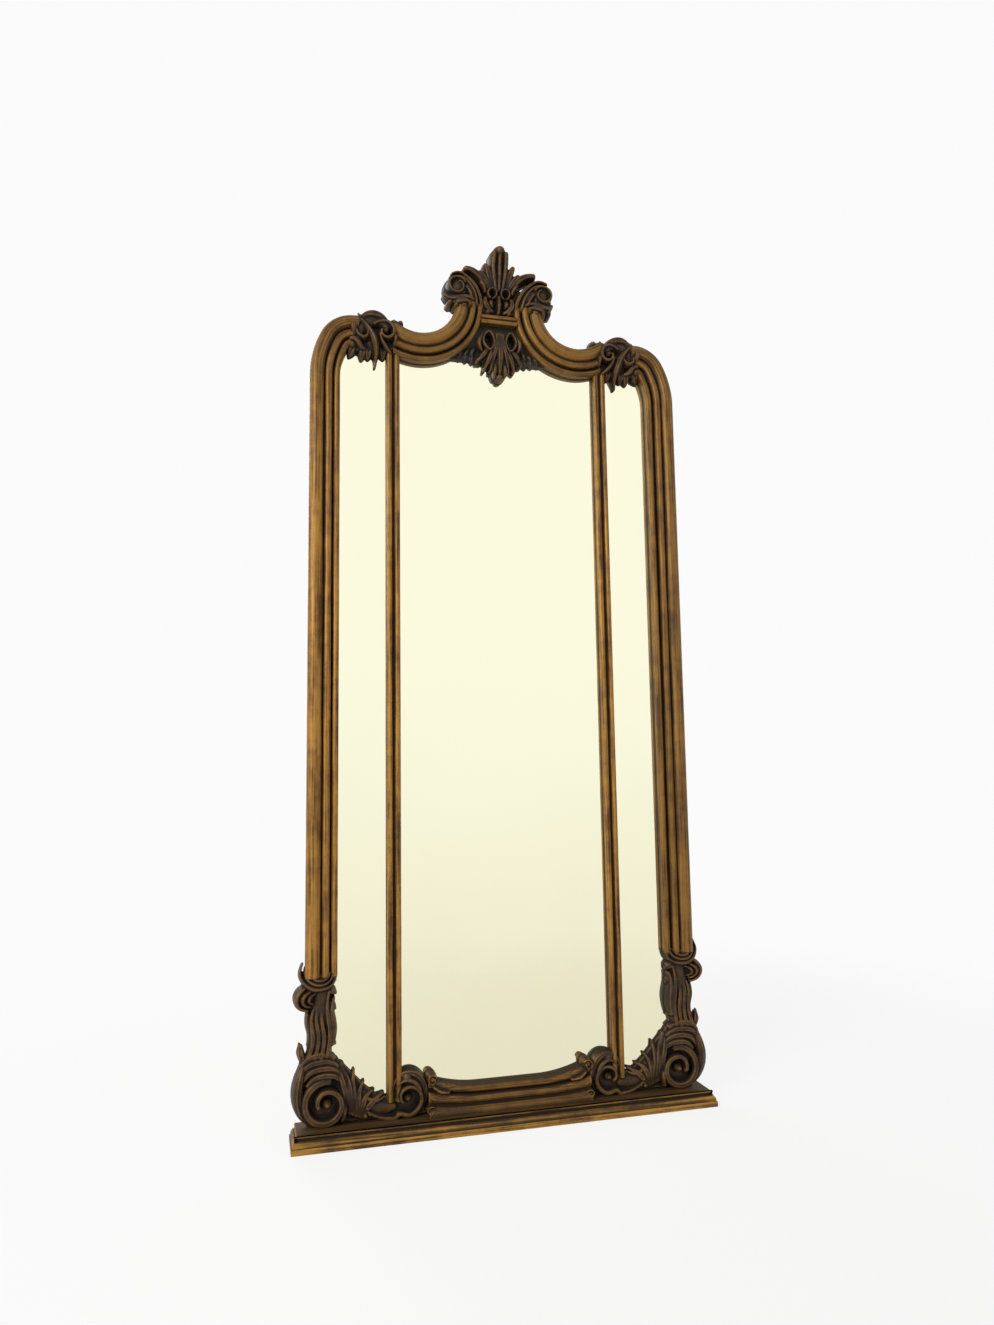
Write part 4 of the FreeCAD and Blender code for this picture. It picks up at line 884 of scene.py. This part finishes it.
def carve_crest_volute():
    """Rolled ball on the end of a swan neck, with the reeds that wind on to it and a leafy cuff."""
    c = Carving()
    c.boss(91, 1693, 31, 40, tall=1.2)
    c.stroke([(60, 1672), (66, 1690), (82, 1704)], (12, 14, 10), (32, 37, 38))
    c.stroke([(37, 1658), (41, 1680), (53, 1704), (70, 1721), (88, 1729), (108, 1722)],
             (6.5, 7, 4), (22, 34, 38),
             flutes=2)
    c.stroke([(49, 1662), (54, 1683), (65, 1702), (80, 1714), (97, 1716)], (6, 7, 4.5), (29, 38, 43))
    c.stroke([(61, 1668), (67, 1686), (78, 1698)], (5.5, 6.5, 4), (34, 40, 42))
    c.stroke(spiral((94, 1696), [(160, 19.5), (60, 19), (0, 18), (-90, 15.5), (-180, 12), (-270, 9.5)]),
             (5, 5.6, 4), (41, 45, 44), drawn=True)
    cuff = [
        [(54, 1672), (72, 1676), (92, 1671), (112, 1674), (121, 1686)],
        [(60, 1664), (78, 1667), (97, 1663), (113, 1668)],
    ]
    for line in cuff:
        c.stroke(line, (5, 8.5, 5), (36, 42, 28), flutes=2)
    for x, z in ((66, 1661), (81, 1657), (96, 1657), (109, 1661)):
        c.boss(x, z, 8, 38)
    mount_pair(c.piece("right_crest_scroll", carving_gilt), "crest_scroll", "carving_gilt", "crest_volute")


def carve_palmette():
    """Tall ribbed leaf that nods forward, with side leaves, drilled eyes and cheeks."""
    c = Carving()
    c.plate([(-36, 1649), (36, 1649), (38, 1690), (34, 1724), (18, 1770), (12, 1790), (-12, 1790),
             (-18, 1770),
             (-34, 1724), (-38, 1690)], 9)
    c.stroke([(0, 1706), (0, 1740), (0, 1790)], (12, 17, 16), (22, 27, 38))
    c.stroke([(0, 1700), (0, 1734), (0, 1768), (0, 1797)], (5.5, 8, 8.5), (27, 35, 46))
    c.stroke([(0, 1650), (0, 1668), (0, 1694)], (4.5, 7, 4.5), (20, 28, 25))
    c.boss(0, 1786, 15, 48, foot=14)

    def side():
        c.stroke([(30, 1652), (31, 1676), (26, 1694)], (10, 11, 6), (15, 18, 14))
        c.stroke([(18, 1704), (28, 1732), (42, 1744)], (9, 14, 4), (18, 23, 20))
        c.stroke([(28, 1704), (46, 1730), (78, 1740)], (8, 12, 6), (18, 26, 32))
        c.stroke([(6, 1698), (12, 1734), (14, 1764), (12, 1788)], (5.5, 8.5, 9.5), (26, 33, 45))
        c.stroke([(12, 1704), (21, 1730), (28, 1750), (34, 1760)], (5.5, 10, 7.5), (23, 31, 36), flutes=2)
        c.stroke([(18, 1702), (30, 1722), (40, 1736), (48, 1742)], (5.5, 10, 7.5), (23, 31, 33), flutes=2)
        c.stroke([(23, 1700), (38, 1724), (58, 1738), (82, 1738)], (5.5, 11, 8), (21, 34, 42), flutes=2)
        c.stroke([(28, 1696), (35, 1712), (46, 1725)], (5, 7, 4), (21, 29, 26))
        c.stroke(spiral((14.5, 1697), [(270, 9.5), (-90, 9.5)]), (3.6, 3.8, 3.6), (22, 28, 22), drawn=True)
        c.stroke([(27, 1692), (30, 1676), (23, 1662), (9, 1656)], (5, 8.5, 5), (20, 27, 20), flutes=2)
        c.stroke([(14, 1685), (17, 1674), (12, 1665)], (5, 7, 4), (19, 25, 19))
        c.boss(23, 1657, 9, 22)

    c.both(side)
    piece = c.piece("crest_palmette_carving", carving_gilt)
    mount(piece, "frame", "carving_gilt", "crest_palmette")


def carve_pendant():
    """Hanging acanthus on the apron: a ribbed middle, teardrop eyelets and falling lobes."""
    base = 7.0
    c = Carving()
    c.stroke([(0, 1578), (0, 1548), (0, 1512)], (16, 24, 8), (13, 17, 11))
    c.stroke([(0, 1611), (0, 1572), (0, 1534), (0, 1503)], (6, 9, 3), (19, 27, 12), flutes=2)
    c.boss(0, 1511, 9, 18)

    def side():
        c.stroke([(20, 1570), (30, 1553), (40, 1546)], (10, 12, 6), (12, 15, 11))
        c.stroke([(6, 1608), (9, 1574), (15, 1548), (20, 1523)], (4.5, 7, 3.5), (20, 26, 14), flutes=2)
        c.stroke([(14, 1576), (22, 1553), (28, 1538), (34, 1525)], (4.5, 7.5, 4), (20, 25, 14), flutes=2)
        c.stroke([(24, 1574), (34, 1559), (42, 1549), (52, 1543)], (4.5, 7.5, 3.5), (18, 23, 13), flutes=2)
        ring = [(24, 1609), (33, 1600), (36, 1588), (31, 1575), (22, 1568), (15, 1576), (13, 1590),
                (17, 1602)]
        closed = smooth_line(ring + ring[:3], 80)
        c.stroke(closed, (3.6, 4.2, 3.6), (19, 23, 19), drawn=True)
        c.stroke([(34, 1606), (43, 1592), (43, 1576), (36, 1566)], (3, 6, 3), (15, 20, 15))
        c.stroke([(9, 1540), (11, 1522), (10, 1509)], (4.5, 6, 3), (18, 20, 12))

    c.both(side)
    piece = c.piece("pendant_carving", carving_gilt, lift=base)
    mount(piece, "frame", "carving_gilt", "pendant_leaf")


def carve_apron():
    """Board between the swan necks, near-black for painted shade of its recess, its lower edge a row of
    fluted lobes.
    """
    reach = 137.0
    c = Carving()
    heights = np.linspace(1629.0, 1546.0, 40)
    inner = [SWAN_CENTRE[0] - math.sqrt(reach ** 2 - (SWAN_CENTRE[1] - z) ** 2) + 3 for z in heights]
    outline = list(zip(inner, heights))
    c.plate(outline + [(-x, z) for x, z in reversed(outline)], 7)

    def side():
        for i in range(7):
            x = 14 + i * 14.5
            z = 1531 + i * 2.4
            c.stroke([(x - 2, z + 26), (x, z + 12), (x + 1, z)], (7, 9, 5.5), (9, 11, 6), flutes=3)
        for i in range(4):
            x = 56 + i * 14
            line = [(x - 6, 1578 - i * 5), (x, 1568 - i * 4), (x + 4, 1556 - i * 2)]
            c.stroke(line, (5, 6.5, 4), (9, 12, 9))

    c.both(side)
    piece = c.piece("apron_fringe", apron_dark)
    mount(piece, "frame", "apron_dark", "crest_apron")


def carve_bottom_rail():
    """Rail moulding that flares to its ends, where the reeds roll into knobs."""
    width = 47.0
    section = moulding_section(width)
    half = 164.0
    flat = 62.0
    flare = 21.0
    c = Carving()
    stations = np.linspace(-half, half, 110)
    points = []
    for x in stations:
        lift = flare * np.clip((abs(x) - flat) / (half - flat), 0, 1) ** 2
        for from_sight, height in section:
            up = (width - from_sight) / width
            points.append((x, PLINTH_TOP + up * (width + lift), height))
    wide = len(section)
    faces = [tuple(range(wide)), tuple((len(stations) - 1) * wide + j for j in reversed(range(wide)))]
    for i in range(len(stations) - 1):
        for j in range(wide):
            k = (j + 1) % wide
            faces.append((i * wide + j, (i + 1) * wide + j, (i + 1) * wide + k, i * wide + k))
    c.add(points, faces)

    def side():
        c.boss(157, 97, 12, 30, foot=4)
        c.stroke(spiral((157, 97), [(170, 9), (-90, 7), (-220, 3)]), (2.6, 2.6, 2), (30, 33, 34), drawn=True)
        c.boss(160, 42, 10.5, 32)
        c.stroke(spiral((160, 42), [(190, 8), (-90, 6), (-200, 3)]), (2.4, 2.4, 2), (32, 35, 35), drawn=True)
        c.stroke([(120, 70), (142, 74), (156, 84)], (3, 5, 4), (26, 30, 28))
        c.stroke([(140, 60), (156, 62), (164, 70)], (3, 5, 4), (24, 30, 26))

    c.both(side)
    piece = c.piece("bottom_rail_reeds", moulding_gilt, (9.0, 330.0, 330.0))
    mount(piece, "frame", "moulding_gilt", "bottom_rail_moulding")


# Plinth and crossbar

def plinth_section():
    """(distance in from the face, height above the foot), from the foot to the flat top."""
    section = [(0.6, 0.0), (0.0, 0.6)]
    section += [(0.0, h) for h in np.linspace(1.5, 9.8, 7)]
    section += [(0.5, 10.7), (1.4, 11.0), (2.0, 11.1)]
    section += arc_line((2.2, 11.6), (4.4, 19.0), (10.4, 21.8), 13)
    section += [(10.8, 22.4), (10.8, 24.4)]
    section += arc_line((10.4, 25.0), (8.8, 27.4), (10.6, 29.6), 8)
    return section + [(11.6, 30.0)]


PLINTH_BAND = 11.05


def make_plinth():
    """Moulded shelf with mitred returns at both ends."""
    half, depth = 421.0, 80.0
    section = plinth_section()
    track = [(-half, 0.0, -1, 0)]
    track += [(-half, -y, -1, 0) for y in np.linspace(6, depth - 6, 10)]
    track += [(-half, -depth, -1, -1)]
    track += [(x, -depth, 0, -1) for x in np.linspace(-half + 6, half - 6, 140)]
    track += [(half, -depth, 1, -1)]
    track += [(half, -y, 1, 0) for y in np.linspace(depth - 6, 6, 10)]
    track += [(half, 0.0, 1, 0)]
    points = []
    for x, y, out_x, out_y in track:
        for inset, z in section:
            points.append(((x - out_x * inset) * MM, (y - out_y * inset) * MM, z * MM))
    wide = len(section)
    last = (len(track) - 1) * wide
    faces = []
    for i in range(len(track) - 1):
        for j in range(wide - 1):
            a = i * wide + j
            faces.append((a, a + wide, a + wide + 1, a + 1))
    top = [i * wide + wide - 1 for i in range(len(track))]
    foot = [i * wide for i in range(len(track))]
    faces.append(tuple(top))
    faces.append(tuple(reversed(foot)))
    faces.append(tuple(range(wide)) + tuple(last + j for j in reversed(range(wide))))
    made = mesh_object("plinth_shelf", points, faces)
    face_outwards(made.data)
    smooth_shaded(made.data)
    made.data.set_sharp_from_angle(angle=math.radians(40))
    # The band below PLINTH_BAND counts as crest, so it takes the bright crest gold: rubbing and painted
    # highlight.
    mark_hollows_and_crests(made.data, 0.5, 2.4, lambda p: p * np.array([1.0, 1.6, 1.6]),
              crest_boost=lambda p: 0.7 * (p[:, 2] < PLINTH_BAND * MM))
    made.data.materials.append(plinth_gilt)
    mount(made, "frame", "plinth_gilt", "plinth")


def make_crossbar():
    """Short bar of two beads under the palmette, its ends let into the swan necks."""
    section = [(-10.0, h) for h in np.linspace(0, 18, 8)]
    section += arc_line((-10.0, 19.0), (-5.0, 24.0), (-0.4, 19.6), 11)
    section += arc_line((0.4, 19.6), (5.0, 24.0), (10.0, 19.0), 11)
    section += [(10.0, h) for h in np.linspace(18, 0, 8)]
    path = [(x, 1638.0) for x in np.linspace(-39, 39, 20)]
    bar = swept("crossbar_beads", path, section, moulding_gilt, 0.4, 2.0)
    mount(bar, "frame", "moulding_gilt", "crest_crossbar")


# Metalwork

def screw_tree():
    """Slotted countersunk screws on points, each turned its own way."""
    m, start = geometry_tree("slotted_screws", [
        ("Head", "NodeSocketFloat"), ("Shank", "NodeSocketFloat"), ("Length", "NodeSocketFloat"),
        ("Slot", "NodeSocketFloat"), ("Turn", "NodeSocketRotation"), ("Finish", "NodeSocketMaterial")])
    head, shank, slot = start.other("Head"), start.other("Shank"), start.other("Slot")
    depth = head * 0.5
    cone = m.node("GeometryNodeMeshCone", {}, {
        "Vertices": 28, "Radius Top": head, "Radius Bottom": shank, "Depth": depth}, "Mesh")
    down = m.node("ShaderNodeCombineXYZ", {}, {"Z": depth * -1.0})
    cone = m.node("GeometryNodeTransform", {}, {"Geometry": cone, "Translation": down})
    size = m.node("ShaderNodeCombineXYZ", {}, {"X": head * 2.4, "Y": slot, "Z": slot * 1.6})
    cutter = m.node("GeometryNodeMeshCube", {}, {"Size": size}, "Mesh")
    cut = m.node("GeometryNodeMeshBoolean", {"operation": "DIFFERENCE"},
                 {"Mesh 1": cone, "Mesh 2": cutter}, "Mesh")
    stem = m.node("GeometryNodeMeshCylinder", {}, {
        "Vertices": 16, "Radius": shank * 0.97, "Depth": start.other("Length")}, "Mesh")
    under = m.node("ShaderNodeCombineXYZ", {}, {"Z": start.other("Length") * -0.5 - depth * 0.9})
    stem = m.node("GeometryNodeTransform", {}, {"Geometry": stem, "Translation": under})
    both = m.node("GeometryNodeJoinGeometry")
    for part in (cut, stem):
        m.tree.links.new(part.socket, both.socket.node.inputs["Geometry"])
    spin = m.node("FunctionNodeRandomValue", {"data_type": "FLOAT"},
                  {2: 0.0, 3: math.pi, "Seed": RNG_SEED}, 1)
    axis = m.node("ShaderNodeCombineXYZ", {}, {"Z": spin})
    placed = m.node("GeometryNodeInstanceOnPoints", {}, {
        "Points": start, "Instance": both, "Rotation": start.other("Turn")})
    placed = m.node("GeometryNodeRotateInstances", {},
                    {"Instances": placed, "Rotation": axis, "Local Space": True})
    geometry = m.node("GeometryNodeSetMaterial", {}, {"Geometry": placed, "Material": start.other("Finish")})
    geometry = m.node("GeometryNodeRealizeInstances", {}, {"Geometry": geometry})
    m.node("NodeGroupOutput", {}, {"Geometry": geometry})
    return m


def make_screws():
    tree = screw_tree()
    to_wall = (-math.pi / 2, 0.0, 0.0)
    to_floor = (math.pi, 0.0, 0.0)
    edge, low, high = 352.0, 61.0, 1569.0
    third = 359.0 / 3
    boards = [(x, z) for x in (-edge, edge) for z in np.linspace(low, high, 5)]
    boards += [(side * x, z) for side in (-1, 1) for z in (low, high) for x in (third + 7, third - 7)]
    rows = [
        ("backboard_slotted_screws", [(x, -1.0, z) for x, z in boards], to_wall, 13.0, steel, "steel_screw",
         "backboard_screws"),
        ("plinth_slotted_screws", [(x, -14.0, 2.0) for x in (-368.0, -164.0, 164.0, 368.0)], to_floor, 53.0,
         steel, "steel_screw", "plinth_screws"),
        ("hanger_slotted_screws", [(x, -5.6, z) for x in (-375.0, 375.0) for z in (1342.0, 1362.0)], to_wall,
         9.0, brass, "brass_screw", "hanger_screws"),
    ]
    for name, places, turn, length, finish, slot, node in rows:
        host = mesh_object("screw_places", [(x * MM, y * MM, z * MM) for x, y, z in places], ())
        made = run_tree(host, tree, name, {
            "Head": 3.45 * MM, "Shank": 1.7 * MM, "Length": length * MM, "Slot": 0.8 * MM, "Turn": turn,
            "Finish": finish})
        mount(made, "frame", slot, node)


def make_rings():
    """D rings of round wire, one on each strap hanger."""
    bar, corner, half, drop, wire = 7.0, 4.0, 11.0, 12.0, 1.75
    pivot_y, pivot_z = -3.55, 1380.0
    for side, x in (("left", -375.0), ("right", 375.0)):
        path = [(x + i, pivot_z) for i in np.linspace(-bar, bar, 8)]
        path += turn_line((x + bar, pivot_z - corner), corner, 90, 0, 9)[1:]
        path += turn_line((x, pivot_z - drop), half, 0, -180, 5)
        path += turn_line((x - bar, pivot_z - corner), corner, 180, 90, 9)[:-1]
        circle = turn_line((0.0, 0.0), wire, 0, 342, 18)
        ring = swept(side + "_wire_ring", path, circle, brass, 0.05, 0.7, True)
        ring.data.transform(Matrix.Translation((0, (pivot_y - FACE) * MM, 0)))
        mount(ring, side + "_ring", "brass", side + "_hanger_ring")


def dress_cad_nodes():
    """Finishes for the CAD pieces that show as they are."""
    plates = ("left_mirror_plate", "middle_mirror_plate", "right_mirror_plate")
    upright = ("left_back_stile", "right_back_stile", "left_mullion_bar", "right_mullion_bar", "crest_board",
               "glazing_blocks")
    lying = ("bottom_back_rail", "top_back_rail")
    boards = ("left_backboard", "middle_backboard", "right_backboard")
    straps = ("left_hanger_strap", "right_hanger_strap")
    for names, finish in ((plates, mirror_glass), (upright, back_pine["z"]), (lying, back_pine["x"]),
                          (boards, board_pine), (straps, brass)):
        for name in names:
            nodes[name].data.materials.clear()
            nodes[name].data.materials.append(finish)


carve_corner_volute()
carve_stile_leaf()
carve_foot_scroll()
carve_top_clasp()
carve_crest_volute()
carve_palmette()
carve_pendant()
carve_apron()
carve_bottom_rail()
make_plinth()
make_crossbar()
make_screws()
make_rings()
dress_cad_nodes()


# The studio

def studio():
    scene = bpy.context.scene
    scene.view_settings.view_transform = "Standard"
    world = bpy.data.worlds.new("studio")
    scene.world = world
    world.use_nodes = True
    world.node_tree.nodes.clear()
    ambient = 0.36
    backdrop = 0.965
    floor_glow = 0.82

    def seen(maker):
        """1 on rays that show the backdrop: straight to the camera, or by way of glass or metal."""
        ray = maker.node("ShaderNodeLightPath", {}, {}, "Is Camera Ray")
        return (ray + ray.other("Is Glossy Ray") + ray.other("Is Transmission Ray")).clamped()

    w = NodeMaker(world.node_tree)
    strength = seen(w) * (backdrop - ambient) + ambient
    light = w.node("ShaderNodeBackground", {}, {"Color": (1, 1, 1, 1), "Strength": strength})
    w.node("ShaderNodeOutputWorld", {}, {"Surface": light})

    m = Finish("studio_floor")
    pale = m.node("ShaderNodeBsdfDiffuse", {}, {"Color": (0.9, 0.9, 0.9, 1)})
    white = m.node("ShaderNodeEmission", {}, {"Color": (1, 1, 1, 1), "Strength": 1.0})
    lit = m.node("ShaderNodeMixShader", {}, {0: seen(m) * floor_glow, 1: pale, 2: white})
    clear = m.node("ShaderNodeBsdfTransparent")
    reach = m.node("ShaderNodeVectorMath", {"operation": "LENGTH"}, {0: m.place()}, "Value")
    fade = m.node("ShaderNodeMixShader", {}, {0: reach.rise(0.9, 2.2), 1: lit, 2: clear})
    m.node("ShaderNodeOutputMaterial", {}, {"Surface": fade})
    floor = mesh_object("floor", [(-3, -3, 0), (3, -3, 0), (3, 3, 0), (-3, 3, 0)], [(0, 1, 2, 3)])
    floor.data.materials.append(m.material)

    def lamp(name, place, aim, size, power):
        data = bpy.data.lights.new(name, "AREA")
        data.shape = "DISK"
        data.size = size
        data.energy = power
        made = bpy.data.objects.new(name, data)
        made.location = place
        made.rotation_euler = (Vector(aim) - Vector(place)).to_track_quat("-Z", "Y").to_euler()
        scene.collection.objects.link(made)

    lamp("key", (-3.2, -2.7, 2.3), (0, 0, 0.9), 1.8, 100)
    lamp("fill", (3.0, -2.4, 2.2), (0, 0, 0.8), 2.2, 8)
    lamp("back", (-1.0, 3.0, 2.6), (0, 0, 0.9), 2.0, 50)


def photo_camera():
    """Stands where the photograph was taken from, a little left of the mirror and low."""
    yaw, pitch, roll = (math.radians(a) for a in (14.78, 6.51, 0.86))
    ahead = Vector((math.sin(yaw) * math.cos(pitch), math.cos(yaw) * math.cos(pitch), math.sin(pitch)))
    right = Vector((math.cos(yaw), -math.sin(yaw), 0))
    down = ahead.cross(right)
    across = math.cos(roll) * right + math.sin(roll) * down
    upward = math.sin(roll) * right - math.cos(roll) * down
    data = bpy.data.cameras.new("photo_camera")
    data.sensor_width = 36.0
    data.lens = 925.0 / 1325.0 * 36.0
    camera = bpy.data.objects.new("photo_camera", data)
    turned = Matrix((across, upward, -ahead)).transposed().to_4x4()
    camera.matrix_world = Matrix.Translation((-0.496, -1.8605, 0.6851)) @ turned
    bpy.context.scene.collection.objects.link(camera)
    bpy.context.scene.camera = camera


studio()
photo_camera()
